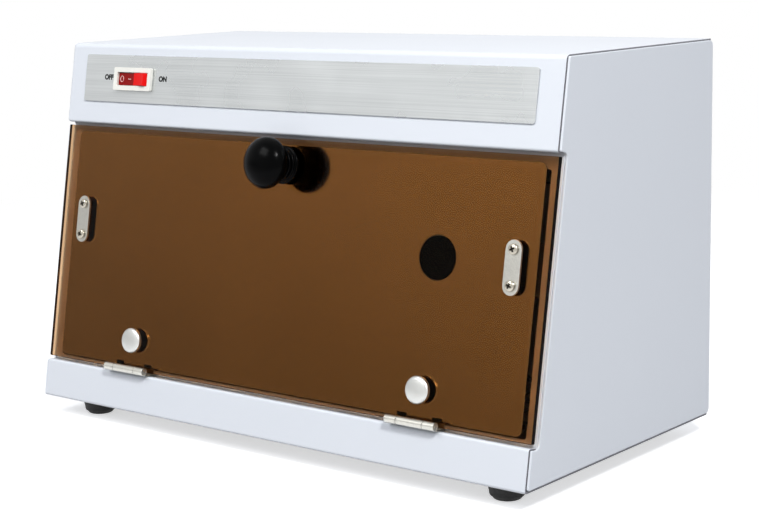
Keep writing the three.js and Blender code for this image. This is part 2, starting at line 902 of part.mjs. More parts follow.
// The rocker is made with its top towards -Y and tipped so that its left arm is pressed in.
function switchRocker() {
  const width = windowHeight - 2 * rockerClearance;
  const geometry = extruded(rockerOutline(), width);
  geometry.translate(0, 0, -width / 2);
  geometry.rotateX(Math.PI);
  const half = windowHeight / 2 + trunnionLength;
  const trunnions = turnedUp(rodProfile(trunnionRadius, -half, half), smallFacets);
  return joined(solidOf(geometry), trunnions).rotate([0, 0, -rockerTiltDegrees]);
}

// Door.

function doorPanel() {
  const outline = roundedRectangle(-doorHalf, doorHalf, doorBottom, doorTop, doorCorner);
  return cutBy(facingPlate(outline, doorThickness), ...doorHoles(doorThickness));
}

// Holes through the door for the knob, the strike screws and the posts of the hinge caps.
function doorHoles(thickness) {
  const bore = (radius, x, up) => {
    const rod = turnedBack(rodProfile(radius + screwHoleGap, -thickness - overrun, overrun), smallFacets);
    return rod.translate([x, 0, up]);
  };
  const holes = [bore(knobScrewShank, 0, knobUp)];
  [-1, 1].forEach((side) => {
    holes.push(bore(capPostRadius, side * hingeX, capUp));
    [-1, 1].forEach((end) => {
      holes.push(bore(strikeScrewShank, side * strikeX, strikeUp + (end * strikeScrewPitch) / 2));
    });
  });
  return holes;
}

function doorBacking() {
  const outline = roundedRectangle(-backingHalf, backingHalf, backingBottom, backingTop, backingCorner);
  const sight = turnedBack(rodProfile(sightRadius + seat, -overrun, overrun), fineFacets);
  const plate = facingPlate(outline, backingThickness);
  const reliefs = [-1, 1].flatMap((side) => {
    return reliefSlots().map((slot) => slot.translate([side * hingeX, 0, 0]));
  });
  return cutBy(plate, sight.translate([sightX, 0, sightUp]), ...doorHoles(backingThickness), ...reliefs);
}

// Slots that relieve the bend of a hinge leaf; the backing is notched to match.
function reliefSlots() {
  return [-1, 1].map((end) => {
    const middle = end * reliefOffset;
    const half = reliefWidth / 2;
    const low = [middle - half, -overrun, backingBottom - seat];
    const high = [middle + half, barrelProud - backingBack + overrun, backingBottom + reliefHeight];
    return block(low, high);
  });
}

function sightWindow() {
  return turnedBack(rodProfile(sightRadius, 0, sightThickness), fineFacets);
}

// A mushroom knob turned about the outward direction, standing on the door face.
function doorKnob() {
  const profile = [
    [0, knobBoreDepth],
    [knobBoreRadius, knobBoreDepth],
    [knobBoreRadius, 0],
    [knobBaseRadius, 0],
    [knobBaseRadius, knobBaseHeight],
    [knobNeckRadius, knobBaseHeight + seat],
    ...knobRings(),
    ...knobHeadArc(),
  ];
  return turnedOut(profile, fineFacets);
}

// The rings that are turned on the neck, from the base up.
function knobRings() {
  const points = [];
  for (let i = 1; i <= knobRingCount; i += 1) {
    const high = knobBaseHeight + i * knobRingPitch;
    const low = high - knobRingWidth;
    points.push([knobNeckRadius, low]);
    points.push([knobRingRadius, low + seat]);
    points.push([knobRingRadius, high - seat]);
    points.push([knobNeckRadius, high]);
  }
  return points;
}

// The head: a quarter arc below the rim and an elliptical dome above it.
function knobHeadArc() {
  const points = [];
  const under = knobRimHeight - knobUnderHeight;
  for (let i = 0; i <= cornerSteps; i += 1) {
    const angle = (i * Math.PI) / 2 / cornerSteps;
    const radius = knobNeckRadius + (knobHeadRadius - knobNeckRadius) * Math.sin(angle);
    points.push([radius, knobRimHeight - under * Math.cos(angle)]);
  }
  const dome = knobHeight - knobRimHeight;
  const domeSteps = 2 * cornerSteps;
  for (let i = 1; i <= domeSteps; i += 1) {
    const angle = (i * Math.PI) / 2 / domeSteps;
    points.push([knobHeadRadius * Math.cos(angle), knobRimHeight + dome * Math.sin(angle)]);
  }
  points[points.length - 1][0] = 0;
  return points;
}

function knobScrew() {
  const length = -doorLeafFront - doorSetback + knobScrewPast;
  return panScrew(knobScrewHead, knobScrewHeight, knobScrewShank, length);
}

function strikePlate() {
  const plate = facingPlate(stadium(strikeWidth, strikeLength), strikeThickness);
  const holes = [-1, 1].map((end) => {
    const bore = turnedBack(rodProfile(strikeScrewShank + screwHoleGap, -overrun, overrun), smallFacets);
    return bore.translate([0, 0, (end * strikeScrewPitch) / 2]);
  });
  return cutBy(plate, ...holes);
}

function strikeScrew() {
  const screw = panScrew(strikeScrewHead, strikeScrewHeight, strikeScrewShank, strikeScrewLength);
  return screw.rotate([180, 0, 0]);
}

// The right-hand catch, about the strike plate's middle with y = 0 at the fascia plane. It is fixed
// to the side panel behind the door frame, and its nose reaches through the opening to the backing.
function catchMagnet(sign) {
  const wall = insideHalfWidth - strikeX;
  const half = magnetLength / 2;
  const bodyFront = recessDepth + sheet + seat;
  const body = block([-magnetPast, bodyFront, -half], [wall, bodyFront + magnetDepth, half]);
  const noseEnd = backingHalf - strikeX - magnetOpeningGap;
  const nose = block([-magnetPast, seat - backingBack, -half], [noseEnd, bodyFront + overrun, half]);
  const right = joined(body, nose);
  return sign > 0 ? right : right.mirror([1, 0, 0]);
}

// Hinges, about the middle of the barrel: x along the pin, y inwards, z up the slope.

function barrelRing(from, to) {
  return turnedAcross(rodProfile(barrelRadius, from, to), roundFacets);
}

function barrelBore() {
  const half = barrelLength / 2 + overrun;
  return turnedAcross(rodProfile(pinRadius + pinClearance, -half, half), roundFacets);
}

// The leaf on the ledge of the lower strip, with the two outer knuckles.
function fixedHingeLeaf() {
  const half = barrelLength / 2;
  const middle = half * knuckleShare;
  const leafBack = barrelProud + fixedLeafReach;
  const leaf = block([-half, 0, -barrelRadius], [half, leafBack, leafThickness - barrelRadius]);
  const notch = block(
    [-middle - knuckleGap, -barrelRadius - overrun, -barrelRadius - overrun],
    [middle + knuckleGap, barrelRadius + leafNotchGap, barrelRadius],
  );
  const rings = [barrelRing(-half, -middle - knuckleGap), barrelRing(middle + knuckleGap, half)];
  return cutBy(joined(cutBy(leaf, notch), ...rings), barrelBore());
}

// The leaf behind the door, with the middle knuckle; it turns up behind the mirror backing.
function doorHingeLeaf() {
  const half = barrelLength / 2;
  const middle = half * knuckleShare;
  const low = doorLeafBottom - barrelUp;
  const front = barrelProud - doorLeafFront;
  const start = barrelRadius + leafNotchGap;
  const path = [
    new THREE.Vector2(start, low),
    new THREE.Vector2(front + leafThickness, low),
    new THREE.Vector2(front + leafThickness, doorLeafTop - barrelUp),
  ];
  const leaf = acrossPrism(foldedSheet(path, leafThickness, [foldInside]), -half, half);
  const tongue = block([-middle, 0, low], [middle, start + leafThickness, low + leafThickness]);
  const post = turnedBack(rodProfile(capPostRadius + screwHoleGap, 0, front + overrun), smallFacets);
  const hole = post.translate([0, 0, capUp - barrelUp]);
  const reliefs = reliefSlots().map((slot) => slot.translate([0, 0, -barrelUp]));
  return cutBy(joined(leaf, tongue, barrelRing(-middle, middle)), barrelBore(), hole, ...reliefs);
}

function hingePin() {
  return turnedAcross(rodProfile(pinRadius, -barrelLength / 2, barrelLength / 2), roundFacets);
}

// A domed cap with the threaded post that goes through the door into the hinge leaf.
function hingeCap() {
  const postEnd = -(doorThickness + 2 * seat + backingThickness + seat + leafThickness);
  const profile = [
    [0, postEnd],
    [capPostRadius, postEnd],
    [capPostRadius, 0],
    [capRadius, 0],
    [capRadius, capRim],
  ];
  for (let i = 1; i <= cornerSteps; i += 1) {
    const angle = (i * Math.PI) / 2 / cornerSteps;
    profile.push([capRadius * Math.cos(angle), capRim + (capHeight - capRim) * Math.sin(angle)]);
  }
  profile[profile.length - 1][0] = 0;
  return turnedOut(profile, fineFacets);
}

// Lamp.

function lampTube() {
  const half = lampLength / 2 - lampCapEnd - seat;
  return turnedAcross(rodProfile(lampTubeRadius, -half, half), roundFacets);
}

// A lamp cap for the right-hand end: a cup over the tube with two pins, seated from x = 0 outwards.
function lampCap(sign) {
  const bore = lampTubeRadius + seat;
  const cup = turnedAcross(
    [
      [0, -lampCapEnd],
      [bore, -lampCapEnd],
      [bore, -lampCapLength],
      [lampCapRadius, -lampCapLength],
      [lampCapRadius, 0],
      [0, 0],
    ],
    roundFacets,
  );
  const pins = [-1, 1].map((side) => {
    const pin = turnedAcross(rodProfile(lampPinRadius, -lampCapEnd / 2, lampPinLength), smallFacets);
    return pin.translate([0, 0, (side * lampPinPitch) / 2]);
  });
  const cap = joined(cup, ...pins);
  return sign > 0 ? cap : cap.mirror([1, 0, 0]);
}

// A holder hanging from the ceiling, with the slot that the lamp's pins slide up into.
function lampHolder() {
  const half = holderWidth / 2;
  const top = lampDrop - seat;
  const corners = [
    new THREE.Vector2(-half, -holderChin),
    new THREE.Vector2(half, -holderChin),
    new THREE.Vector2(half, top),
    new THREE.Vector2(-half, top),
  ];
  const outline = roundedOutline(corners, [half / 2, half / 2, 0, 0]);
  const body = acrossPrism(outline, -holderThickness / 2, holderThickness / 2);
  const slot = block(
    [-holderThickness, -holderSlot / 2, -holderChin - overrun],
    [holderThickness, holderSlot / 2, lampPinPitch / 2 + holderSlot / 2],
  );
  return cutBy(body, slot);
}

function lampReflector() {
  const angle = THREE.MathUtils.degToRad(reflectorAngleDegrees);
  const wingY = reflectorFlat / 2 + reflectorWing * Math.cos(angle);
  const wingZ = -reflectorWing * Math.sin(angle);
  const path = [
    new THREE.Vector2(wingY, wingZ),
    new THREE.Vector2(reflectorFlat / 2, 0),
    new THREE.Vector2(-reflectorFlat / 2, 0),
    new THREE.Vector2(-wingY, wingZ),
  ];
  const half = lampLength / 2 - reflectorEndGap;
  return acrossPrism(foldedSheet(path, reflectorSheet, [foldInside, foldInside]), -half, half);
}

// Electrics on the deck above the ceiling.

function ballast() {
  const halfLength = ballastLength / 2;
  const halfWide = ballastWidth / 2;
  const corners = [
    new THREE.Vector2(-halfWide, 0),
    new THREE.Vector2(halfWide, 0),
    new THREE.Vector2(halfWide, ballastHeight),
    new THREE.Vector2(-halfWide, ballastHeight),
  ];
  const section = roundedOutline(corners, [0, 0, ballastCorner, ballastCorner]);
  const core = acrossPrism(section, -halfLength, halfLength);
  const footHalf = halfLength + ballastFootReach;
  const foot = block([-footHalf, -halfWide, 0], [footHalf, halfWide, ballastFootThickness]);
  const holes = [-1, 1].map((side) => {
    const bore = turnedUp(rodProfile(ballastHoleRadius, -overrun, overrun), smallFacets);
    return bore.translate([side * (halfLength + ballastFootReach / 2), 0, 0]);
  });
  return cutBy(joined(core, foot), ...holes);
}

// The starter lies along x, with its contact end towards +X.
function starter() {
  const profile = [
    [0, -starterLength],
    [starterRadius - starterRound, -starterLength],
    [starterRadius, -starterLength + starterRound],
    [starterRadius, 0],
    [starterNeckRadius, 0],
    [starterNeckRadius, starterNeckLength],
    [0, starterNeckLength],
  ];
  return turnedAcross(profile, roundFacets);
}

function starterSocket() {
  const cup = turnedAcross(rodProfile(socketRadius, 0, socketLength), roundFacets);
  const foot = block(
    [0, -socketFootWidth / 2, -socketRadius],
    [socketLength, socketFootWidth / 2, socketFootHeight - socketRadius],
  );
  const hollow = turnedAcross(
    rodProfile(starterNeckRadius + socketCupGap, -overrun, starterNeckLength + 2 * seat),
    roundFacets,
  );
  return cutBy(joined(cup, foot), hollow);
}

function terminalBlock() {
  const half = terminalLength / 2;
  const wide = terminalWidth / 2;
  const foot = block([-half, -wide, 0], [half, wide, terminalFootHeight]);
  const pitch = terminalLength / terminalPoles;
  const parts = [];
  const bores = [];
  for (let i = 0; i < terminalPoles; i += 1) {
    const x = (i - (terminalPoles - 1) / 2) * pitch;
    parts.push(turnedUp(rodProfile(pitch / 2 - seat, 0, terminalHeight), smallFacets).translate([x, 0, 0]));
    const bore = turnedUp(rodProfile(terminalScrewRadius, -terminalScrewDepth, overrun), smallFacets);
    bores.push(bore.translate([x, 0, terminalHeight]));
  }
  return cutBy(joined(foot, ...parts), ...bores);
}

// Wires: each runs between two faces that it stops just short of.

function supplyWire() {
  const front = terminalY - terminalWidth / 2 - seat;
  const height = deckHeight + terminalFootHeight / 2;
  const blade = switchBladeEnd(0);
  return tubeAlong(
    [
      [terminalX, front, height],
      [terminalX, front - wireStandOff, height],
      [blade[0], blade[1] + 2 * wireStandOff, blade[2]],
      [blade[0], blade[1] + wireStandOff / 2, blade[2]],
      blade,
    ],
    wireRadius,
    wireSteps,
  );
}

function ballastWire() {
  const face = ballastX - ballastLength / 2 - seat;
  const height = deckHeight + ballastHeight / 2;
  const blade = switchBladeEnd(2);
  const frontY = lampY - ballastWidth / 2;
  return tubeAlong(
    [
      blade,
      [blade[0], blade[1] + wireStandOff / 2, blade[2]],
      [blade[0] + 2 * wireStandOff, frontY - wireStandOff / 2, height],
      [face - 2 * wireStandOff, frontY, height],
      [face - wireStandOff / 2, frontY + wireStandOff / 2, height],
      [face, frontY + wireStandOff / 2, height],
    ],
    wireRadius,
    wireSteps,
  );
}

function lampWire(side) {
  const inner = side > 0 ? ballastX + ballastLength / 2 : starterX - starterLength;
  const start = inner + side * seat;
  const height = deckHeight + (side > 0 ? ballastHeight / 2 : socketRadius);
  const hole = side * wireHoleX();
  const drop = ceilingHeight - lampDrop / 2;
  const low = deckHeight + wireStandOff / 4;
  return tubeAlong(
    [
      [start, lampY, height],
      [start + (side * wireStandOff) / 2, lampY, height],
      [start + (side * wireStandOff * 3) / 2, lampY, low],
      [hole - side * wireHoleRadius, lampY, low],
      [hole, lampY, ceilingHeight],
      [hole, lampY, drop],
      [hole - side * (wireHoleRadius - wireRadius - seat), lampY, drop - wireRadius],
    ],
    wireRadius,
    wireSteps,
  );
}

// The end of a switch blade, in body coordinates, with the gap that a wire keeps to it.
function switchBladeEnd(index) {
  const out = bezelBack - (switchBodyDepth + bladeLength + seat + wireRadius);
  const point = onSlope(out, switchUp);
  return [switchX + (index - (bladeCount - 1) / 2) * bladePitch, point.x, point.y];
}

// Cable gland, about its axis at the outer face of the back panel, outwards along +Y.

function cableGland() {
  const hex = facingPlate(hexagon(glandHexAcross), glandHexLength).translate([0, seat + glandHexLength, 0]);
  const dome = turnedBack(
    [
      [0, seat + glandHexLength / 2],
      [glandHexAcross / 2, seat + glandHexLength / 2],
      [glandHexAcross / 2, seat + glandHexLength],
      [(glandHexAcross / 2 + glandDomeRadius) / 2, seat + glandHexLength + glandDomeLength * headRoundShare],
      [glandDomeRadius, seat + glandHexLength + glandDomeLength],
      [0, seat + glandHexLength + glandDomeLength],
    ],
    roundFacets,
  );
  const thread = turnedBack(rodProfile(glandThreadRadius, -glandThreadLength, glandHexLength), roundFacets);
  const bore = turnedBack(
    rodProfile(glandBoreRadius, -glandThreadLength - overrun, glandHexLength + glandDomeLength + overrun),
    roundFacets,
  );
  return cutBy(joined(hex, dome, thread), bore);
}

function glandLocknut() {
  const nut = facingPlate(hexagon(locknutAcross), locknutLength);
  const hole = rodProfile(glandThreadRadius + glandHoleGap, -locknutLength - overrun, overrun);
  return cutBy(nut, turnedBack(hole, roundFacets));
}

// Wire rack: two long rods on legs, end rods and runners, and cross wires laid over them.
function wireRack() {
  const halfX = rackLength / 2;
  const halfY = rackWidth / 2;
  const top = rackLegHeight;
  const rods = [];
  const addAlongX = (y) => {
    rods.push(rodBetween([-halfX - rackOverhang, y, top], [halfX + rackOverhang, y, top], rackRodRadius));
  };
  const addAlongY = (x, rise, radius) => {
    const ends = halfY + rackOverhang;
    rods.push(rodBetween([x, -ends, top + rise], [x, ends, top + rise], radius));
  };
  [-1, 1].forEach((side) => {
    addAlongX(side * halfY);
    addAlongY(side * halfX, rackRodRadius * rackEndRiseShare, rackRodRadius);
    [-1, 1].forEach((end) => {
      const x = side * (halfX - rackLegInset);
      rods.push(rodBetween([x, end * halfY, seat], [x, end * halfY, top], rackWireRadius));
    });
  });
  for (let i = 1; i <= rackRunnerCount; i += 1) {
    addAlongX(-halfY + (rackWidth * i) / (rackRunnerCount + 1));
  }
  for (let i = 1; i <= rackWireCount; i += 1) {
    const x = -halfX + (rackLength * i) / (rackWireCount + 1);
    addAlongY(x, rackRodRadius * rackWireRiseShare, rackWireRadius);
  }
  return joined(...rods);
}

// A straight six-sided rod between two points.
function rodBetween(from, to, radius) {
  const start = new THREE.Vector3(...from);
  const along = new THREE.Vector3(...to).sub(start);
  const length = along.length();
  const rod = new THREE.CylinderGeometry(radius, radius, length, wireFacets).translate(0, length / 2, 0);
  const turn = new THREE.Quaternion().setFromUnitVectors(new THREE.Vector3(0, 1, 0), along.normalize());
  return solidOf(rod.applyQuaternion(turn).translate(...start.toArray()));
}

// The assembly.

function addCase(cabinet, front) {
  const white = finishes.whitePaint;
  addPiece(cabinet, 'top_cover', topCover(), white);
  addPiece(cabinet, 'base_pan', basePan(), white);
  addPiece(cabinet, 'side_panel_left', sidePanel(-1), white);
  addPiece(cabinet, 'side_panel_right', sidePanel(1), white);
  addPiece(cabinet, 'back_panel', backPanel(), white, [0, glandBackY, 0]);
  addPiece(front, 'door_frame', doorFrame(), white, [0, recessDepth + sheet, 0]);
  addPiece(cabinet, 'chamber_ceiling', chamberCeiling(), white);
  caseScrewPlaces().forEach(({ x, z }, i) => {
    const screw = panScrew(caseScrewHead, caseScrewHeight, caseScrewShank, caseScrewLength);
    addPiece(cabinet, `back_screw_${i + 1}`, screw, finishes.stainless, [x, glandBackY + seat, z]);
  });
}

function addFeet(cabinet) {
  footPlaces().forEach(({ name, x, y }) => {
    addPiece(cabinet, `foot_${name}`, rubberFoot(), finishes.rubber, [x, y, 0]);
    addPiece(cabinet, `foot_screw_${name}`, footScrew(), finishes.stainless, [x, y, 0]);
  });
}

function addFascia(front) {
  addPiece(front, 'name_plate', namePlate(), finishes.brushedPlate, [0, -seat, 0]);
  addPiece(front, 'switch_housing', switchHousing(), finishes.creamPlastic, [switchX, -bezelBack, switchUp]);
  addPiece(front, 'switch_rocker', switchRocker(), finishes.redPlastic, [switchX, -rockerPivotOut, switchUp]);
}

function addDoor(front) {
  addPiece(front, 'door_panel', doorPanel(), finishes.bronzeAcrylic, [0, -doorBack, 0]);
  addPiece(front, 'door_backing', doorBacking(), finishes.mirrorFilm, [0, -backingBack, 0]);
  addPiece(front, 'sight_window', sightWindow(), finishes.sightGlass, [sightX, -backingFront, sightUp]);
  addPiece(front, 'door_knob', doorKnob(), finishes.blackPlastic, [0, doorSetback - seat, knobUp]);
  addPiece(front, 'knob_screw', knobScrew(), finishes.stainless, [0, -doorLeafFront, knobUp]);
}

function addStrikes(front) {
  const plateY = doorSetback - seat;
  [['left', -1], ['right', 1]].forEach(([side, sign]) => {
    const x = sign * strikeX;
    addPiece(front, `strike_plate_${side}`, strikePlate(), finishes.stainless, [x, plateY, strikeUp]);
    [['lower', -1], ['upper', 1]].forEach(([end, way]) => {
      const up = strikeUp + (way * strikeScrewPitch) / 2;
      const place = [x, plateY - strikeThickness - seat, up];
      addPiece(front, `strike_screw_${side}_${end}`, strikeScrew(), finishes.stainless, place);
    });
    addPiece(front, `catch_magnet_${side}`, catchMagnet(sign), finishes.ferrite, [x, 0, strikeUp]);
  });
}

function addHinges(front) {
  [['left', -1], ['right', 1]].forEach(([side, sign]) => {
    const place = [sign * hingeX, -barrelProud, barrelUp];
    addPiece(front, `hinge_leaf_fixed_${side}`, fixedHingeLeaf(), finishes.stainless, place);
    addPiece(front, `hinge_leaf_door_${side}`, doorHingeLeaf(), finishes.stainless, place);
    addPiece(front, `hinge_pin_${side}`, hingePin(), finishes.stainless, place);
    const capPlace = [sign * hingeX, doorSetback - seat, capUp];
    addPiece(front, `hinge_cap_${side}`, hingeCap(), finishes.chrome, capPlace);
  });
}

function addLamp(cabinet) {
  addPiece(cabinet, 'uv_lamp_tube', lampTube(), finishes.quartz, [0, lampY, lampUp]);
  [['left', -1], ['right', 1]].forEach(([side, sign]) => {
    const capPlace = [(sign * lampLength) / 2, lampY, lampUp];
    addPiece(cabinet, `lamp_cap_${side}`, lampCap(sign), finishes.aluminium, capPlace);
    const holderPlace = [sign * (lampLength / 2 + seat + holderThickness / 2), lampY, lampUp];
    addPiece(cabinet, `lamp_holder_${side}`, lampHolder(), finishes.creamPlastic, holderPlace);
  });
  const reflectorUp = ceilingHeight - seat;
  addPiece(cabinet, 'lamp_reflector', lampReflector(), finishes.aluminium, [0, lampY, reflectorUp]);
}

function addElectrics(cabinet) {
  const socketUp = deckHeight + socketRadius;
  const socketPlace = [starterX + seat, lampY, socketUp];
  const terminalPlace = [terminalX, terminalY, deckHeight];
  addPiece(cabinet, 'ballast', ballast(), finishes.ballastSteel, [ballastX, lampY, deckHeight]);
  addPiece(cabinet, 'starter', starter(), finishes.aluminium, [starterX, lampY, socketUp]);
  addPiece(cabinet, 'starter_socket', starterSocket(), finishes.greyPlastic, socketPlace);
  addPiece(cabinet, 'terminal_block', terminalBlock(), finishes.greyPlastic, terminalPlace);
  addPiece(cabinet, 'wire_supply', supplyWire(), finishes.wireInsulation);
  addPiece(cabinet, 'wire_ballast', ballastWire(), finishes.wireInsulation);
  addPiece(cabinet, 'wire_lamp_left', lampWire(-1), finishes.wireInsulation);
  addPiece(cabinet, 'wire_lamp_right', lampWire(1), finishes.wireInsulation);
}

function addInletAndRack(cabinet) {
  const glandPlace = [glandX, glandBackY, glandUp];
  addPiece(cabinet, 'cable_gland', cableGland(), finishes.blackPlastic, glandPlace);
  const nutPlace = [glandX, cabinetDepth, glandUp];
  addPiece(cabinet, 'gland_locknut', glandLocknut(), finishes.blackPlastic, nutPlace);
  addPiece(cabinet, 'wire_rack', wireRack(), finishes.chrome, [0, rackY, sheet]);
}

const sterilizer = new THREE.Group();
const cabinet = new THREE.Group();
cabinet.position.set(0, -originY, footHeight);
sterilizer.add(cabinet);

// Everything on the leaning front is placed in a group that leans with it.
const front = new THREE.Group();
front.rotation.x = -lean;
cabinet.add(front);

addCase(cabinet, front);
addFeet(cabinet);
addFascia(front);
addDoor(front);
addStrikes(front);
addHinges(front);
addLamp(cabinet);
addElectrics(cabinet);
addInletAndRack(cabinet);

export default sterilizer;
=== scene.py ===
"""Looks of a salon ultraviolet cabinet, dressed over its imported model, in a plain studio.

Sizes whose names end in _mm are millimetres, and everything else is in metres. A share is a part of
the size that it multiplies.
"""

import logging
import math
from dataclasses import dataclass
from enum import Enum

import bmesh
import bpy
from mathutils import Matrix, Vector


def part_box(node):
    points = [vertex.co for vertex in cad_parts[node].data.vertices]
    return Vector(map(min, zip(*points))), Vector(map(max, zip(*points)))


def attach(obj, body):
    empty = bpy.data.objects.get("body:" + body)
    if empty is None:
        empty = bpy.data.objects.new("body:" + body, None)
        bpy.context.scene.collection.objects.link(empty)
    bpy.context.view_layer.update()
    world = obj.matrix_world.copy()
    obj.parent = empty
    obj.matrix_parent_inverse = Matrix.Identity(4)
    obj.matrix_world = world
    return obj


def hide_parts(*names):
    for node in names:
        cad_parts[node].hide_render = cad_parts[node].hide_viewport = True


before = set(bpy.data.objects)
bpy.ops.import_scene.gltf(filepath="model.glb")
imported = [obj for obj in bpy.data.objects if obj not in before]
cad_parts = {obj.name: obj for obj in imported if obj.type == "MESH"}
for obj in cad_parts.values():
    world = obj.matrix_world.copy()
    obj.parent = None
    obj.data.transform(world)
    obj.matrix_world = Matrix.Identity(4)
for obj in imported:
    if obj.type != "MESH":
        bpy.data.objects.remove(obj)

LOG = logging.getLogger("cabinet")
MM = 0.001

# Corners this near are one, in a copied solid and in a turned one, and points this near its axis on it
WELD = 2e-6
TOUCH = 1e-7
AXIS_MM = 1e-6

# Faces of a copied solid that turn by less than FLAT_DEG are one. Edges that turn by more than the
# others are rounded or stay sharp, on boxes, on pieces with facets and on round pieces.
FLAT_DEG = 0.4
SOFT_DEG = 32.0
FACETED_DEG = 40.0
ROUND_SHARP_DEG = 50.0
FLATS_WEIGHT = 60

Colour = tuple[float, float, float]
Pair = tuple[float, float]
Profile = list[Pair]
Triple = tuple[float, float, float]
Piece = bpy.types.Object
Shape = bmesh.types.BMesh
Socket = bpy.types.NodeSocket
Sockets = tuple[Socket, Socket, Socket]


class Body(Enum):
    """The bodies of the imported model."""

    CABINET = "cabinet"
    DOOR = "door"
    ROCKER = "rocker"


class Side(Enum):
    """The two sides of the cabinet, seen from the front."""

    LEFT = -1
    RIGHT = 1

    @property
    def word(self) -> str:
        """The side's word in the names of the pieces."""
        return self.name.lower()


class Grain(Enum):
    """The way in which a metal is brushed, as the stretch of its noise along x, y and z."""

    ACROSS = (9.0, 1700.0, 1700.0)
    DOWN = (900.0, 900.0, 6.0)
    ROUND = (1500.0, 1500.0, 1500.0)


# Places


@dataclass(frozen=True)
class LeaningFront:
    """The leaning front of the case: x across, up the slope, and out of its face."""

    lean_deg: float = 10.54
    foot: Triple = (0.0, -0.103807, 0.012)

    def place(self, x_mm: float, out_mm: float, up_mm: float) -> Matrix:
        """Finds the frame of a piece that stands on the front.

        Args:
            x_mm: Distance to the right of the middle.
            out_mm: Distance in front of the plane of the fascia.
            up_mm: Distance up the slope from its foot.

        Returns:
            A matrix whose x runs across, y up the slope and z out of the front.
        """
        slope = Matrix.Rotation(math.radians(90.0 - self.lean_deg), 4, "X")
        along = Matrix.Translation(Vector((x_mm, up_mm, out_mm)) * MM)
        return Matrix.Translation(self.foot) @ slope @ along


FRONT = LeaningFront()


def spaced(half: float, count: int) -> list[float]:
    """Even places from one end of a span to the other, about its middle."""
    return [half * (2 * i / (count - 1) - 1) for i in range(count)]


def facing(point: Vector, towards: Triple) -> Matrix:
    """Finds the frame of a piece that points one way.

    Args:
        point: Where the piece stands.
        towards: The direction that its z runs in.

    Returns:
        A matrix at the point whose z runs towards that direction.
    """
    turn = Vector(towards).to_track_quat("Z", "Y").to_matrix().to_4x4()
    return Matrix.Translation(point) @ turn


def spot(node: str, way: Triple = (0.0, 0.0, 0.0)) -> Vector:
    """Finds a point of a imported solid's box.

    Args:
        node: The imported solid's name.
        way: The side of the box to go to from its middle, as -1, 0 or 1 along each axis.

    Returns:
        The middle of the box, or of that side of it.
    """
    low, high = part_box(node)
    return Vector([(a + b + side * (b - a)) / 2 for a, b, side in zip(low, high, way)])


# Meshes


def linked(name: str, data: bpy.types.ID) -> Piece:
    """Puts a mesh, a curve, a lamp or a camera into the scene.

    Args:
        name: The new object's name.
        data: What it shows.

    Returns:
        The new object.
    """
    piece = bpy.data.objects.new(name, data)
    bpy.context.scene.collection.objects.link(piece)
    return piece


def meshed(name: str, shape: Shape) -> Piece:
    """Makes a piece from a shape.

    Args:
        name: The new piece's name.
        shape: The shape, which is used up.

    Returns:
        The piece.
    """
    mesh = bpy.data.meshes.new(name)
    shape.to_mesh(mesh)
    shape.free()
    return linked(name, mesh)


def evaluated(piece: Piece, name: str) -> bpy.types.Mesh:
    """Makes a mesh of what a piece's modifiers, curve or text give.

    Args:
        piece: The piece, which stays as it is.
        name: The new mesh's name.

    Returns:
        The mesh.
    """
    bpy.context.view_layer.update()
    graph = bpy.context.evaluated_depsgraph_get()
    mesh = bpy.data.meshes.new_from_object(piece.evaluated_get(graph))
    mesh.name = name
    return mesh


def settled(piece: Piece) -> Piece:
    """Applies a piece's modifiers to its mesh.

    Args:
        piece: The piece whose modifiers are done.

    Returns:
        The same piece, with no modifiers left.
    """
    mesh, old = evaluated(piece, piece.name), piece.data
    piece.modifiers.clear()
    piece.data = mesh
    bpy.data.meshes.remove(old)
    return piece


def traced(name: str, curve: bpy.types.Curve) -> bpy.types.Mesh:
    """Makes a mesh of a curve or a text.

    Args:
        name: The new mesh's name.
        curve: The curve, which is used up.

    Returns:
        The mesh.
    """
    holder = linked(name + "_line", curve)
    mesh = evaluated(holder, name)
    bpy.data.objects.remove(holder)
    bpy.data.curves.remove(curve)
    return mesh


def shaded(piece: Piece, sharp_deg: float) -> Piece:
    """Shades a piece smooth, apart from edges sharper than an angle.

    Args:
        piece: The piece to shade.
        sharp_deg: Edges that turn by more than this stay sharp.

    Returns:
        The same piece.
    """
    piece.data.shade_smooth()
    piece.data.set_sharp_from_angle(angle=math.radians(sharp_deg))
    return piece


def softened(piece: Piece, edge_mm: float, steps: int = 2, from_deg: float = SOFT_DEG) -> Piece:
    """Rounds a piece's edges, and shades it so that its flats stay flat.

    Args:
        piece: The piece, with clean flat faces.
        edge_mm: How far the rounding reaches from each edge.
        steps: Number of faces across the rounding.
        from_deg: Only edges that turn by more than this are rounded.

    Returns:
        The same piece.
    """
    piece.data.shade_smooth()
    round_edges = piece.modifiers.new("round_edges", "BEVEL")
    round_edges.width = edge_mm * MM
    round_edges.segments = steps
    round_edges.limit_method = "ANGLE"
    round_edges.angle_limit = math.radians(from_deg)
    round_edges.use_clamp_overlap = True
    round_edges.miter_outer = "MITER_ARC"
    flats = piece.modifiers.new("keep_flats", "WEIGHTED_NORMAL")
    flats.weight = FLATS_WEIGHT
    flats.keep_sharp = False
    return settled(piece)


def from_node(node: str, name: str) -> Piece:
    """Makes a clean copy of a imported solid, with its triangles joined into flat faces.

    Args:
        node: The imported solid's name.
        name: The new piece's name.

    Returns:
        The copy, in the same place.
    """
    shape = bmesh.new()
    shape.from_mesh(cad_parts[node].data)
    bmesh.ops.remove_doubles(shape, verts=shape.verts, dist=WELD)
    bmesh.ops.dissolve_limit(
        shape, angle_limit=math.radians(FLAT_DEG), verts=shape.verts, edges=shape.edges, delimit=set()
    )
    for layer in list(shape.loops.layers.uv):
        shape.loops.layers.uv.remove(layer)
    bmesh.ops.recalc_face_normals(shape, faces=shape.faces)
    return meshed(name, shape)


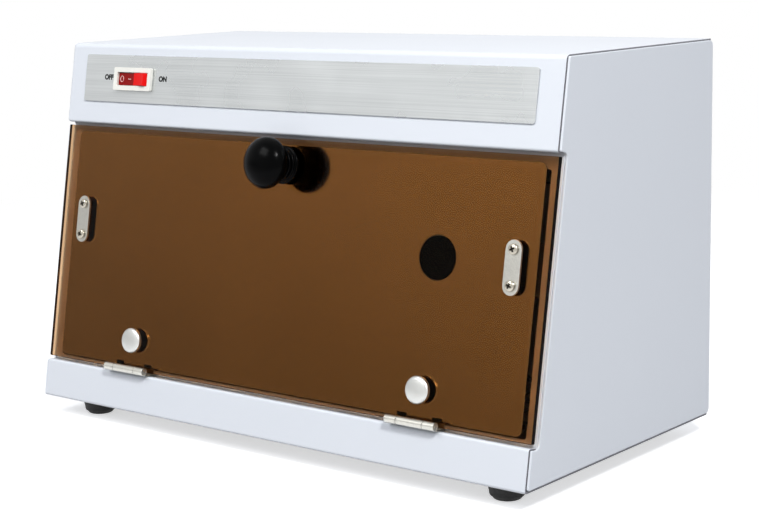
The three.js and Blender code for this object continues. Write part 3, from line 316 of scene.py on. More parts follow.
def turned(
    name: str, profile: Profile, place: Matrix, facets: int, sharp_deg: float = FACETED_DEG
) -> Piece:
    """Turns a profile about the z axis of a frame.

    Args:
        name: The new piece's name.
        profile: Radius and height pairs in millimetres, from one end of the axis to the other.
        place: The frame in which the profile is turned.
        facets: Number of faces round the turn.
        sharp_deg: Edges that turn by more than this stay sharp.

    Returns:
        The turned piece.
    """
    shape = bmesh.new()
    rings: list[list[bmesh.types.BMVert]] = []
    for radius, height in profile:
        ring = []
        for i in range(1 if radius < AXIS_MM else facets):
            angle = 2 * math.pi * i / facets
            point = (radius * math.cos(angle), radius * math.sin(angle), height)
            ring.append(shape.verts.new(Vector(point) * MM))
        rings.append(ring)
    for lower, upper in zip(rings, rings[1:]):
        for i in range(facets):
            steps = ((lower, i), (lower, i + 1), (upper, i + 1), (upper, i))
            loop = dict.fromkeys(ring[at % len(ring)] for ring, at in steps)
            if len(loop) > 2:
                shape.faces.new(list(loop))
    bmesh.ops.remove_doubles(shape, verts=shape.verts, dist=TOUCH)
    bmesh.ops.recalc_face_normals(shape, faces=shape.faces)
    shape.transform(place)
    return shaded(meshed(name, shape), sharp_deg)


def arc(
    radius_mm: float, height_mm: float, round_mm: float, from_deg: float, to_deg: float, steps: int,
    rise_mm: float = 0.0,
) -> Profile:
    """Finds the points of a rounded edge or a dome of a turned profile.

    Args:
        radius_mm: Radius at which the round's centre lies.
        height_mm: Height of the round's centre.
        round_mm: The round's own radius.
        from_deg: Angle of its first point, from the outward radius towards the height.
        to_deg: Angle of its last point.
        steps: Number of straight steps.
        rise_mm: The round's half height, where it is an oval.

    Returns:
        Radius and height pairs in millimetres.
    """
    points = []
    for i in range(steps + 1):
        angle = math.radians(from_deg + (to_deg - from_deg) * i / steps)
        rise = (rise_mm or round_mm) * math.sin(angle)
        points.append((radius_mm + round_mm * math.cos(angle), height_mm + rise))
    return points


def tube(name: str, points: list[Vector], radius_mm: float) -> Piece:
    """Makes a thin round wire of eight sides along points.

    Args:
        name: The new piece's name.
        points: The middle line of the wire.
        radius_mm: The wire's radius.

    Returns:
        The wire, closed at its ends.
    """
    curve = bpy.data.curves.new(name, "CURVE")
    curve.dimensions = "3D"
    line = curve.splines.new("POLY")
    line.points.add(len(points) - 1)
    for knot, point in zip(line.points, points):
        knot.co = (*point, 1.0)
    curve.bevel_depth = radius_mm * MM
    curve.bevel_resolution = 1
    curve.use_fill_caps = True
    return shaded(linked(name, traced(name, curve)), ROUND_SHARP_DEG)


def joined(name: str, pieces: list[Piece]) -> Piece:
    """Joins pieces into one.

    Args:
        name: The new piece's name.
        pieces: The pieces, which are used up.

    Returns:
        The new piece.
    """
    shape = bmesh.new()
    for piece in pieces:
        mesh = piece.data
        shape.from_mesh(mesh)
        bpy.data.objects.remove(piece)
        bpy.data.meshes.remove(mesh)
    return shaded(meshed(name, shape), ROUND_SHARP_DEG)


def rod(name: str, start: Vector, stop: Vector, radius_mm: float, facets: int = 20) -> Piece:
    """Makes a straight round rod with its end edges rounded off.

    Args:
        name: The new piece's name.
        start: One end of its axis.
        stop: The other end.
        radius_mm: The rod's radius.
        facets: Number of faces round it.

    Returns:
        The rod.
    """
    round_share = 0.3
    length, round_mm = (stop - start).length / MM, radius_mm * round_share
    profile: Profile = [(0.0, 0.0)] + arc(radius_mm - round_mm, round_mm, round_mm, -90.0, 0.0, 3)
    profile += arc(radius_mm - round_mm, length - round_mm, round_mm, 0.0, 90.0, 3) + [(0.0, length)]
    return turned(name, profile, facing(start, tuple(stop - start)), facets, ROUND_SHARP_DEG)


# Finishes


class NodeSheet:
    """A node tree, with the calls that the finishes and the studio share."""

    def __init__(self, tree: bpy.types.NodeTree) -> None:
        """Takes up a tree."""
        self.tree = tree

    def node(self, kind: str, feeds: dict[str | int, object]) -> bpy.types.Node:
        """Adds a node.

        Args:
            kind: The node's kind.
            feeds: For each of its sockets that is set, a value or the socket that feeds it.

        Returns:
            The new node.
        """
        node = self.tree.nodes.new("ShaderNode" + kind)
        for socket, value in feeds.items():
            if isinstance(value, Socket):
                self.tree.links.new(value, node.inputs[socket])
            else:
                node.inputs[socket].default_value = value
        return node

    def where(self, kind: str = "Object") -> Socket:
        """Coordinates of one kind."""
        return self.node("TexCoord", {}).outputs[kind]

    def noise(self, scale: float, detail: float, stretch: Triple = (1.0, 1.0, 1.0)) -> Socket:
        """Adds noise.

        Args:
            scale: How many patches lie along a metre.
            detail: How many finer layers lie over them.
            stretch: How much finer it is along each axis.

        Returns:
            The noise's factor.
        """
        where = self.node("Mapping", {"Vector": self.where(), "Scale": stretch}).outputs["Vector"]
        return self.node("TexNoise", {"Scale": scale, "Detail": detail, "Vector": where}).outputs["Fac"]

    def ranged(self, value: Socket, low: float, high: float, span: Pair) -> Socket:
        """Maps a value that varies over a span onto another range.

        Args:
            value: The varying value.
            low: What the span's first end becomes.
            high: What its other end becomes.
            span: The two ends of the value's span.

        Returns:
            The mapped value.
        """
        feeds = {"Value": value, "From Min": span[0], "From Max": span[1], "To Min": low, "To Max": high}
        return self.node("MapRange", feeds).outputs["Result"]

    def math(self, operation: str, first: Socket, second: Socket | float) -> Socket:
        """Works out one value from two.

        Args:
            operation: The name of the operation.
            first: The first value.
            second: The second one.

        Returns:
            The result.
        """
        node = self.node("Math", {0: first, 1: second})
        node.operation = operation
        return node.outputs[0]

    def mixed(self, factor: Socket, first: Socket, second: Socket) -> Socket:
        """Mixes two shaders, of which the second shows by the factor."""
        return self.node("MixShader", {0: factor, 1: first, 2: second}).outputs[0]


@dataclass(frozen=True)
class Finish:
    """A shader whose colour follows one noise, and whose roughness and height follow another.

    A noise is given as its patches along a metre and its finer layers, and a span as the noise's
    levels where a change begins and ends. Without a shade, the tone makes one from the colour, as a
    share of it and a lift. The coat is given as its weight and its roughness.
    """

    name: str
    colour: Colour
    roughness: float
    shade: Colour | None = None
    tone: Pair = (0.9, 0.0)
    cloud: Pair = (90.0, 3.0)
    cloud_span: Pair = (0.3, 0.7)
    spread: Pair = (0.0, 0.0)
    skin: Pair = (700.0, 2.0)
    skin_span: Pair = (0.3, 0.7)
    depth: float = 0.0
    strength: float = 0.5
    metallic: float = 0.0
    gloss: float = 0.5
    coat: Pair = (0.0, 0.08)

    def make(self) -> bpy.types.Material:
        """Makes the finish.

        Returns:
            The material.
        """
        material = bpy.data.materials.new(self.name)
        material.use_nodes = True
        sheet = NodeSheet(material.node_tree)
        shader = sheet.tree.nodes["Principled BSDF"].inputs
        for socket, value in self.values().items():
            shader[socket].default_value = value
        tinted, worn, raised = self.followed(sheet)
        mix = sheet.node("Mix", {"Factor": sheet.ranged(tinted, 0.0, 1.0, self.cloud_span)})
        mix.data_type = "RGBA"
        first, second, result = (end for end in (*mix.inputs, *mix.outputs) if end.type == "RGBA")
        share, lift = self.tone
        shade = self.shade or tuple(level * share + lift for level in self.colour)
        first.default_value, second.default_value = (*self.colour, 1.0), (*shade, 1.0)
        sheet.tree.links.new(result, shader["Base Color"])
        if any(self.spread):
            low, high = (self.roughness + change for change in self.spread)
            sheet.tree.links.new(sheet.ranged(worn, low, high, self.skin_span), shader["Roughness"])
        if self.depth:
            bump = sheet.node("Bump", {"Height": raised, "Distance": self.depth, "Strength": self.strength})
            sheet.tree.links.new(bump.outputs["Normal"], shader["Normal"])
        return material

    def values(self) -> dict[str, float | tuple[float, ...]]:
        """The values of the shader's even sockets.

        Returns:
            Each value under its socket's name.
        """
        values = {"Metallic": self.metallic, "Specular IOR Level": self.gloss, "Roughness": self.roughness}
        values["Coat Weight"], values["Coat Roughness"] = self.coat
        return values

    def followed(self, sheet: NodeSheet) -> Sockets:
        """Draws what the finish follows.

        Args:
            sheet: The sheet to draw on.

        Returns:
            What its colour follows, what its roughness follows and what its height follows.
        """
        cloud, skin = sheet.noise(*self.cloud), sheet.noise(*self.skin)
        return cloud, skin, skin


@dataclass(frozen=True)
class PowderCoat(Finish):
    """Baked powder paint on steel, with the faint peel of its skin."""

    cloud: Pair = (7.0, 3.0)
    skin: Pair = (620.0, 3.0)
    spread: Pair = (-0.05, 0.06)
    depth: float = 0.00006
    gloss: float = 0.45
    coat: Pair = (0.12, 0.3)


@dataclass(frozen=True)
class BrushedMetal(Finish):
    """Metal with fine straight scratches along one direction."""

    grain: Grain = Grain.ROUND
    cloud: Pair = (1.0, 2.0)
    cloud_span: Pair = (0.35, 0.65)
    skin: Pair = (30.0, 2.0)
    spread: Pair = (-0.08, 0.08)
    depth: float = 0.00002
    strength: float = 0.6
    metallic: float = 1.0

    def followed(self, sheet: NodeSheet) -> Sockets:
        """Draws the scratches and the soft patches between which the roughness varies."""
        scratches = sheet.noise(*self.cloud, self.grain.value)
        return scratches, sheet.noise(*self.skin), scratches


@dataclass(frozen=True)
class PolishedMetal(Finish):
    """Bright plated or polished metal with a few faint rub marks."""

    cloud: Pair = (160.0, 6.0)
    skin: Pair = (160.0, 6.0)
    skin_span: Pair = (0.45, 0.7)
    spread: Pair = (0.0, 0.06)
    depth: float = 0.00001
    strength: float = 0.3
    metallic: float = 1.0


@dataclass(frozen=True)
class MouldedPlastic(Finish):
    """Injection moulded plastic: an even colour under a fine moulded skin."""

    tone: Pair = (1.1, 0.0005)
    skin: Pair = (900.0, 2.0)
    spread: Pair = (-0.03, 0.05)
    depth: float = 0.00002
    strength: float = 0.4


@dataclass(frozen=True)
class TintedSheet(Finish):
    """Clear plastic or glass with a tint, polished on both faces."""

    tone: Pair = (0.97, 0.0)
    cloud: Pair = (12.0, 2.0)
    ior: float = 1.49
    glare: float = 1.0

    def values(self) -> dict[str, float | tuple[float, ...]]:
        """The values of the shader's even sockets, with those that make it clear."""
        glare = (self.glare, self.glare, self.glare, 1.0)
        return super().values() | {"Transmission Weight": 1.0, "IOR": self.ior, "Specular Tint": glare}

    def followed(self, sheet: NodeSheet) -> Sockets:
        """Draws the one noise that its colour follows. Its faces are even."""
        return (sheet.noise(*self.cloud),) * 3


@dataclass(frozen=True)
class SawnEdge(Finish):
    """The cut edge of a tinted sheet, through which the tint looks almost black."""

    tone: Pair = (1.8, 0.0)
    cloud: Pair = (700.0, 4.0)
    skin: Pair = (700.0, 4.0)
    spread: Pair = (-0.05, 0.1)
    depth: float = 0.00003
    strength: float = 0.4
    gloss: float = 0.02


@dataclass(frozen=True)
class RockerRed(Finish):
    """Translucent red plastic, darker on the pressed arm: painted shade where less light falls.

    Its colour follows x, with the span from one arm to the other.
    """

    # The painted shade runs from the raised arm's colour to the pressed arm's over this span of x.
    cloud_span: Pair = (-0.1248, -0.1256)
    spread: Pair = (-0.04, 0.06)
    depth: float = 0.00001
    strength: float = 0.3
    gloss: float = 0.1

    def followed(self, sheet: NodeSheet) -> Sockets:
        """Draws x, and the plastic's skin."""
        across, skin = sheet.node("SeparateXYZ", {"Vector": sheet.where()}), sheet.noise(*self.skin)
        return across.outputs["X"], skin, skin


@dataclass(frozen=True)
class MirrorFilm(Finish):
    """Metallised film on the back of the door: a soft, slightly clouded mirror."""

    cloud: Pair = (9.0, 3.0)
    skin: Pair = (60.0, 3.0)
    spread: Pair = (0.0, 0.01)
    metallic: float = 1.0


@dataclass(frozen=True)
class Rubber(Finish):
    """Matt black rubber with a dusty, slightly pitted skin."""

    cloud: Pair = (180.0, 5.0)
    cloud_span: Pair = (0.4, 0.75)
    skin: Pair = (1300.0, 3.0)
    spread: Pair = (0.0, 0.22)
    depth: float = 0.00005
    gloss: float = 0.4


FINISHES: tuple[Finish, ...] = (
    PowderCoat("white_paint", (0.80, 0.83, 0.875), 0.42, (0.785, 0.816, 0.862)),
    # Painted shade: the ends of the folded sheets, in the seams beside the side panels, are painted dark.
    PowderCoat("seam_paint", (0.23, 0.23, 0.25), 0.6, (0.21, 0.21, 0.23)),
    BrushedMetal("stainless", (0.60, 0.59, 0.54), 0.32, (0.50, 0.49, 0.45)),
    BrushedMetal(
        "brushed_plate", (0.66, 0.68, 0.68), 0.3, (0.58, 0.60, 0.60), grain=Grain.ACROSS, metallic=0.75
    ),
    MouldedPlastic("cream_plastic", (0.88, 0.87, 0.80), 0.3, coat=(0.2, 0.08)),
    # Painted shade: the pressed (left) arm of the key is darker than the raised arm.
    RockerRed("red_plastic", (0.90, 0.006, 0.006), 0.2, (0.28, 0.005, 0.005)),
    TintedSheet("bronze_acrylic", (0.66, 0.42, 0.235), 0.0, ior=1.28, glare=0.12),
    SawnEdge("bronze_edge", (0.0016, 0.0008, 0.0005), 0.4),
    # Painted light: a lighter, browner copy of the near-black sawn edge, for the door's left edge.
    SawnEdge("bronze_far_edge", (0.05, 0.028, 0.014), 0.4),
    MirrorFilm("mirror_film", (0.433, 0.43, 0.325), 0.085),
    # Painted shade: pure black without gloss, for the dark chamber seen through the hole in the mirror.
    MouldedPlastic("sight_glass", (0.0002, 0.0002, 0.0002), 0.3, depth=0.0, gloss=0.0),
    MouldedPlastic("black_plastic", (0.0003, 0.0004, 0.0005), 0.2, depth=0.000004, gloss=0.04),
    MouldedPlastic("ferrite", (0.035, 0.034, 0.036), 0.55, skin=(1600.0, 2.0), depth=0.00008),
    PolishedMetal("chrome_cap", (0.60, 0.605, 0.585), 0.36),
    BrushedMetal("screw_steel", (0.50, 0.47, 0.40), 0.22, (0.40, 0.37, 0.31)),
    # Painted shade in the crossed recesses of the screw heads.
    BrushedMetal("recess_steel", (0.045, 0.038, 0.03), 0.5, (0.03, 0.025, 0.02)),
    TintedSheet("lamp_quartz", (0.93, 0.97, 0.985), 0.0, ior=1.46),
    BrushedMetal("bare_aluminium", (0.83, 0.84, 0.85), 0.24, (0.72, 0.73, 0.74), grain=Grain.ACROSS),
    BrushedMetal(
        "ballast_steel", (0.34, 0.36, 0.37), 0.42, (0.24, 0.25, 0.26), grain=Grain.DOWN, metallic=0.8
    ),
    MouldedPlastic("grey_plastic", (0.44, 0.45, 0.46), 0.45, depth=0.00004),
    MouldedPlastic("wire_insulation", (0.02, 0.045, 0.24), 0.4),
    PolishedMetal("rack_chrome", (0.56, 0.56, 0.57), 0.2),
    Rubber("foot_rubber", (0.005, 0.005, 0.005), 0.5, (0.016, 0.015, 0.014)),
    MouldedPlastic("black_print", (0.003, 0.003, 0.003), 0.5, gloss=0.1),
    MouldedPlastic("pale_print", (0.85, 0.52, 0.50), 0.4),
)


# Sub-assemblies


@dataclass(frozen=True)
class CrossScrew:
    """A pan head screw with a crossed recess."""

    head_mm: float
    height_mm: float
    shank_mm: float
    length_mm: float
    # The second coat is painted shade on the faces of the crossed recess.
    coats: tuple[str, ...] = ("stainless", "recess_steel")
    facets: int = 40
    tip_share: float = 0.55
    root_share: float = 0.82
    pitch_share: float = 0.5
    edge_mm: float = 0.35
    edge_share: float = 0.3
    lip_share: float = 1 / 3
    dome_share: float = 0.62
    dome_power: float = 0.9
    dome_steps: int = 8
    slot_share: float = 0.62
    arm_share: float = 0.19
    depth_share: float = 0.75
    flare_share: float = 1.06
    taper_share: float = 0.62
    over_mm: float = 0.4

    def profile(self) -> Profile:
        """Draws the screw's outline.

        Returns:
            Its points, from the tip to the middle of the head's top.
        """
        points: Profile = [(0.0, -self.length_mm), (self.shank_mm * self.tip_share, -self.length_mm)]
        pitch = self.shank_mm * self.pitch_share
        at = -self.length_mm + self.shank_mm
        while at + pitch < 0.0:
            points += [(self.shank_mm * self.root_share, at), (self.shank_mm, at + pitch / 2)]
            at += pitch
        edge = min(self.edge_mm, self.height_mm * self.edge_share)
        dome = self.height_mm * self.dome_share
        points += [(self.shank_mm, 0.0), (self.head_mm - edge * self.lip_share, 0.0)]
        points += arc(self.head_mm - edge, edge, edge, -60.0, 0.0, 3)
        for i in range(self.dome_steps + 1):
            angle = math.pi / 2 * i / self.dome_steps
            level = self.height_mm - dome + dome * math.sin(angle) ** self.dome_power
            points.append((self.head_mm * math.cos(angle), level))
        return points

    def build(self, name: str, place: Matrix) -> Piece:
        """Makes the screw.

        Args:
            name: The new piece's name.
            place: Its frame, with z out of the head and the head's underside at 0.

        Returns:
            The screw, with the faces of its recess numbered 1.
        """
        screw = turned(name, self.profile(), place, self.facets)
        cutter = self.cross_cutter(name + "_cutter", place)
        cut = screw.modifiers.new("recess", "BOOLEAN")
        cut.operation = "DIFFERENCE"
        cut.object = cutter
        cut.solver = "EXACT"
        settled(screw)
        mesh = cutter.data
        bpy.data.objects.remove(cutter)
        bpy.data.meshes.remove(mesh)
        return shaded(screw, FACETED_DEG)

    def cross_cutter(self, name: str, place: Matrix) -> Piece:
        """Makes the tapered cross that is cut out of the head.

        Args:
            name: The new piece's name.
            place: The screw's frame.

        Returns:
            The cross, with its faces numbered 1.
        """
        shape = bmesh.new()
        reach, half = self.head_mm * self.slot_share, self.head_mm * self.arm_share
        outline = [
            (reach, half), (half, half), (half, reach), (-half, reach), (-half, half), (-reach, half),
            (-reach, -half), (-half, -half), (-half, -reach), (half, -reach), (half, -half), (reach, -half),
        ]
        ends = (
            (self.flare_share, self.height_mm + self.over_mm),
            (self.taper_share, self.height_mm * (1 - self.depth_share)),
        )
        top, low = (
            [shape.verts.new(Vector((x * share, y * share, level)) * MM) for x, y in outline]
            for share, level in ends
        )
        shape.faces.new(top)
        shape.faces.new(low[::-1])
        for i in range(len(outline)):
            j = (i + 1) % len(outline)
            shape.faces.new((top[i], low[i], low[j], top[j]))
        bmesh.ops.recalc_face_normals(shape, faces=shape.faces)
        for face in shape.faces:
            face.material_index = 1
        shape.transform(place)
        return meshed(name, shape)


@dataclass
class Assembly:
    """A sub-assembly, with the finishes that its pieces are dressed in."""

    finishes: dict[str, bpy.types.Material]

    def build(self) -> None:
        """Makes the pieces and dresses them."""
        raise NotImplementedError

    def fit(self, piece: Piece, slot: str, body: Body, *nodes: str, coats: tuple[str, ...] = ()) -> None:
        """Dresses a piece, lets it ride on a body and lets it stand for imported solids.

        Args:
            piece: The piece, in its place, with each face numbered by its coat.
            slot: The record's material slot.
            body: The body that carries it.
            *nodes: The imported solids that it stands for.
            coats: Its finishes, where they aren't the slot's own one alone.
        """
        numbers = [face.material_index for face in piece.data.polygons]
        piece.data.materials.clear()
        for name in coats or (slot,):
            piece.data.materials.append(self.finishes[name])
        piece.data.polygons.foreach_set("material_index", numbers)
        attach(piece, body.value)
        if nodes:
            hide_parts(*nodes)
        LOG.info("%s stands for %s", piece.name, ", ".join(nodes) or "no solid of its own")

    def copy(
        self, node: str, name: str, slot: str, edge_mm: float, steps: int = 2,
        from_deg: float = SOFT_DEG, body: Body = Body.CABINET,
    ) -> None:
        """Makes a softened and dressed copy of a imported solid, which stands for it.

        Args:
            node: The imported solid's name.
            name: The new piece's name.
            slot: The record's material slot.
            edge_mm: How far the rounding of its edges reaches.
            steps: Number of faces across the rounding.
            from_deg: Only edges that turn by more than this are rounded.
            body: The body that carries it.
        """
        self.fit(softened(from_node(node, name), edge_mm, steps, from_deg), slot, body, node)

    def drive(self, screw: CrossScrew, node: str, place: Matrix, body: Body = Body.CABINET) -> None:
        """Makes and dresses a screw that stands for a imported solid, in a frame of its own."""
        self.fit(screw.build(node + "_head", place), "stainless", body, node, coats=screw.coats)


@dataclass
class SteelCase(Assembly):
    """The folded sheets of the case, the frame of the door opening and the partition."""

    edge_mm: float = 0.28
    panel_edge_mm: float = 0.6
    panel_fold_mm: float = 0.1
    panel_sink_mm: float = 0.35
    half_width_mm: float = 185.0
    sheet_mm: float = 1.2
    near_mm: float = 0.01
    end_near_mm: float = 0.5
    flat_limit: float = 0.3
    seam_limit: float = 0.35
    wraps: tuple[str, ...] = ("top_cover", "base_pan")
    panels: tuple[str, ...] = ("side_panel_left", "side_panel_right")
    plain: tuple[str, ...] = ("back_panel", "door_frame", "chamber_ceiling")

    def build(self) -> None:
        """Rounds the edges of each sheet and paints it."""
        for node in self.wraps + self.panels + self.plain:
            piece = from_node(node, node + "_sheet")
            coats = ("white_paint",)
            if node in self.panels:
                self.sink(piece)
                softened(piece, self.panel_fold_mm)
            else:
                softened(piece, self.edge_mm, 3)
            # The ends of the folded sheets take painted shade where they lie in the seam.
            if node in self.wraps:
                self.number_ends(piece)
                coats += ("seam_paint",)
            self.fit(piece, "white_paint", Body.CABINET, node, coats=coats)

    def sink(self, piece: Piece) -> None:
        """Draws a side panel's front and top rims in from the folded sheets, and rounds its outer edge.

        Args:
            piece: The panel, with clean flat faces.
        """
        shape = bmesh.new()
        shape.from_mesh(piece.data)
        outer = (self.half_width_mm - self.near_mm) * MM
        inner = outer - self.sheet_mm * MM
        moves: dict[Pair, Vector] = {}
        for vert in shape.verts:
            rim = [face.normal for face in vert.link_faces if abs(face.normal.x) < self.flat_limit]
            if abs(vert.co.x) > outer and rim:
                out = sum(rim, Vector()).normalized()
                move = out * (-self.panel_sink_mm * MM / out.dot(rim[0]))
                move.y, move.z = max(move.y, 0.0), min(move.z, 0.0)
                moves[self.seen_from_side(vert)] = move
        for vert in shape.verts:
            if abs(vert.co.x) > inner:
                vert.co += moves.get(self.seen_from_side(vert), Vector())
        ring = [edge for edge in shape.edges if all(abs(vert.co.x) > outer for vert in edge.verts)]
        width = self.panel_edge_mm * MM
        bmesh.ops.bevel(shape, geom=ring, offset=width, segments=3, profile=0.5, affect="EDGES")
        shape.to_mesh(piece.data)
        shape.free()

    @staticmethod
    def seen_from_side(vert: bmesh.types.BMVert) -> Pair:
        """A corner's y and z, the same for both faces of the sheet."""
        return round(vert.co.y, 6), round(vert.co.z, 6)

    def number_ends(self, piece: Piece) -> None:
        """Numbers the ends of a folded sheet, which lie in the seam, for their painted shade.

        Args:
            piece: The sheet.
        """
        end = (self.half_width_mm - self.sheet_mm - self.end_near_mm) * MM
        for face in piece.data.polygons:
            if abs(face.center.x) > end and abs(face.normal.x) > self.seam_limit:
                face.material_index = 1


@dataclass
class CaseScrews(Assembly):
    """The screws of the back panel and of the feet."""

    back: CrossScrew = CrossScrew(3.4, 2.2, 1.6, 7.0)
    foot: CrossScrew = CrossScrew(3.8, 2.4, 1.9, 10.3)
    back_count: int = 4

    def build(self) -> None:
        """Makes each screw in the place of its solid."""
        places = [(self.back, f"back_screw_{i}", (0.0, 1.0, 0.0)) for i in range(1, self.back_count + 1)]
        for end in ("front", "back"):
            places += [(self.foot, f"foot_screw_{end}_{side.word}", (0.0, 0.0, -1.0)) for side in Side]
        for screw, node, out in places:
            seat = spot(node, out) - Vector(out) * screw.height_mm * MM
            self.drive(screw, node, facing(seat, out))


@dataclass
class Feet(Assembly):
    """Four rubber feet, each a domed cup with its screw sunk in its underside.

    Its wall is given as insets and depths from its top edge, and each round below as its centre's
    inset from the bottom's radius, its centre's height and its own radius.
    """

    height_mm: float = 11.7
    radius_mm: float = 11.0
    edge_mm: float = 0.5
    wall_mm: tuple[Pair, ...] = ((0.2, 3.0), (0.75, 5.6))
    bottom_mm: float = 7.5
    shoulder_mm: Triple = (0.1, 3.6, 2.4)
    toe_mm: Triple = (1.0, 1.6, 1.6)
    recess_mm: float = 4.5
    recess_edge_mm: float = 0.4
    recess_depth_mm: float = 6.0
    bore_mm: float = 2.2
    facets: int = 64

    def profile(self) -> Profile:
        """Draws the foot's section.

        Returns:
            Its points, from the bore's upper end round to it again.
        """
        radius, edge, low = self.radius_mm, self.edge_mm, -self.height_mm
        points: Profile = [(self.bore_mm, 0.0), (radius - edge, 0.0)]
        points += arc(radius - edge, -edge, edge, 90.0, 0.0, 3)
        points += [(radius - inset, -depth) for inset, depth in self.wall_mm]
        for (inset, rise, round_mm), angles in ((self.shoulder_mm, (10, -35)), (self.toe_mm, (-20, -90))):
            points += arc(self.bottom_mm - inset, low + rise, round_mm, *angles, 5)
        points += [(self.recess_mm + self.recess_edge_mm, low), (self.recess_mm, low + self.recess_edge_mm)]
        deep = low + self.recess_depth_mm
        return points + [(self.recess_mm, deep), (self.bore_mm, deep), (self.bore_mm, 0.0)]

    def build(self) -> None:
        """Makes the four feet."""
        for end in ("front", "back"):
            for side in Side:
                node = f"foot_{end}_{side.word}"
                place = Matrix.Translation(spot(node, (0.0, 0.0, 1.0)))
                piece = turned(node + "_rubber", self.profile(), place, self.facets, ROUND_SHARP_DEG)
                self.fit(piece, "foot_rubber", Body.CABINET, node)


@dataclass
class Fascia(Assembly):
    """The brushed name plate, left bare, with the words beside the switch."""

    up_mm: float = 203.0
    plate_out_mm: float = 0.9
    plate_edge_mm: float = 0.15
    words: tuple[tuple[str, str, float], ...] = (("word_off", "OFF", -148.8), ("word_on", "ON", -101.7))
    capital_mm: float = 3.0
    capital_share: float = 0.7
    ink_mm: float = 0.03
    bold_mm: float = 0.24

    def build(self) -> None:
        """Makes the plate and prints its two words."""
        self.copy("name_plate", "name_plate_sheet", "brushed_plate", self.plate_edge_mm)
        for name, word, x_mm in self.words:
            piece = self.printed(name, word, FRONT.place(x_mm, self.plate_out_mm, self.up_mm))
            self.fit(piece, "brushed_plate", Body.CABINET, coats=("black_print",))

    def printed(self, name: str, word: str, place: Matrix) -> Piece:
        """Prints a word flat on a face.

        Args:
            name: The new piece's name.
            word: What is printed.
            place: The frame of the print, whose middle is at the frame's origin.

        Returns:
            The print as a thin mesh.
        """
        text = bpy.data.curves.new(name, "FONT")
        text.body = word
        text.align_x = "CENTER"
        text.align_y = "CENTER"
        text.size = self.capital_mm * MM / self.capital_share
        text.extrude = self.ink_mm * MM
        text.offset = self.bold_mm * MM
        mesh = traced(name, text)
        mesh.transform(place)
        return linked(name, mesh)


@dataclass
class RockerSwitch(Assembly):
    """The rocker switch: a cream bezel and a red key with its two marks."""

    x_mm: float = -126.1
    up_mm: float = 202.276
    pivot_out_mm: float = -1.4
    tilt_deg: float = 7.0
    arm_deg: float = 6.97
    middle_mm: float = 3.6
    bezel_edge_mm: float = 0.3
    key_edge_mm: float = 0.25
    key_from_deg: float = 25.0
    ring_x_mm: float = -9.1
    ring_half_mm: Pair = (1.3, 1.8)
    ring_line_mm: float = 0.2
    ring_steps: int = 48
    dash_x_mm: float = -2.3
    dash_half_mm: float = 1.2
    dash_line_mm: float = 0.25
    dash_shares: tuple[float, ...] = (-1.0, -0.5, 0.0, 0.5, 1.0)

    def build(self) -> None:
        """Makes the bezel, the key and its marks."""
        self.copy("switch_housing", "switch_bezel", "cream_plastic", self.bezel_edge_mm, 3)
        edge, from_deg = self.key_edge_mm, self.key_from_deg
        self.copy("switch_rocker", "switch_key", "red_plastic", edge, 3, from_deg, Body.ROCKER)
        turns = [2 * math.pi * i / self.ring_steps for i in range(self.ring_steps + 1)]
        wide, high = self.ring_half_mm
        ring = [Vector((wide * math.cos(turn), high * math.sin(turn), 0.0)) for turn in turns]
        self.mark("mark_ring", ring, self.ring_x_mm, self.ring_line_mm)
        dash = [Vector((share * self.dash_half_mm, 0.0, 0.0)) for share in self.dash_shares]
        self.mark("mark_dash", dash, self.dash_x_mm, self.dash_line_mm)

    def mark(self, name: str, line: list[Vector], x_mm: float, line_mm: float) -> None:
        """Prints a mark on the pressed arm of the key.

        Args:
            name: The new piece's name.
            line: The mark's line in millimetres, about its own middle.
            x_mm: That middle's place along the arm, from the pivot.
            line_mm: Half the width of its line.
        """
        level = self.middle_mm + abs(x_mm) * math.tan(math.radians(self.arm_deg))
        pivot = FRONT.place(self.x_mm, self.pivot_out_mm, self.up_mm)
        lean = Matrix.Rotation(math.radians(-self.tilt_deg), 4, "Y")
        slope = Matrix.Rotation(math.radians(self.arm_deg), 4, "Y")
        place = pivot @ lean @ Matrix.Translation((x_mm * MM, 0.0, level * MM)) @ slope
        piece = tube(name, [place @ (point * MM) for point in line], line_mm)
        self.fit(piece, "red_plastic", Body.ROCKER, coats=("pale_print",))


@dataclass
class DoorLeaf(Assembly):
    """The bronze door sheet with its mirror backing and sight window."""

    sheet_edge_mm: float = 0.2
    film_edge_mm: float = 0.08
    window_edge_mm: float = 0.1
    edge_limit: float = 0.9

    def build(self) -> None:
        """Makes the three sheets of the door."""
        sheet = softened(from_node("door_panel", "door_sheet"), self.sheet_edge_mm)
        out = FRONT.place(0.0, 0.0, 0.0).to_3x3() @ Vector((0.0, 0.0, 1.0))
        for face in sheet.data.polygons:
            # The left edge faces get the lighter copy of the edge colour, painted light; the other edges
            # stay near black.
            if abs(face.normal.dot(out)) < self.edge_limit:
                face.material_index = 2 if face.normal.x < -self.edge_limit else 1
        coats = ("bronze_acrylic", "bronze_edge", "bronze_far_edge")
        self.fit(sheet, "bronze_acrylic", Body.DOOR, "door_panel", coats=coats)
        self.copy("door_backing", "door_mirror", "mirror_film", self.film_edge_mm, 1, body=Body.DOOR)
        # The sight window is painted shade, black for the dark chamber behind the hole in the mirror.
        self.copy("sight_window", "sight_disc", "sight_glass", self.window_edge_mm, 1, body=Body.DOOR)


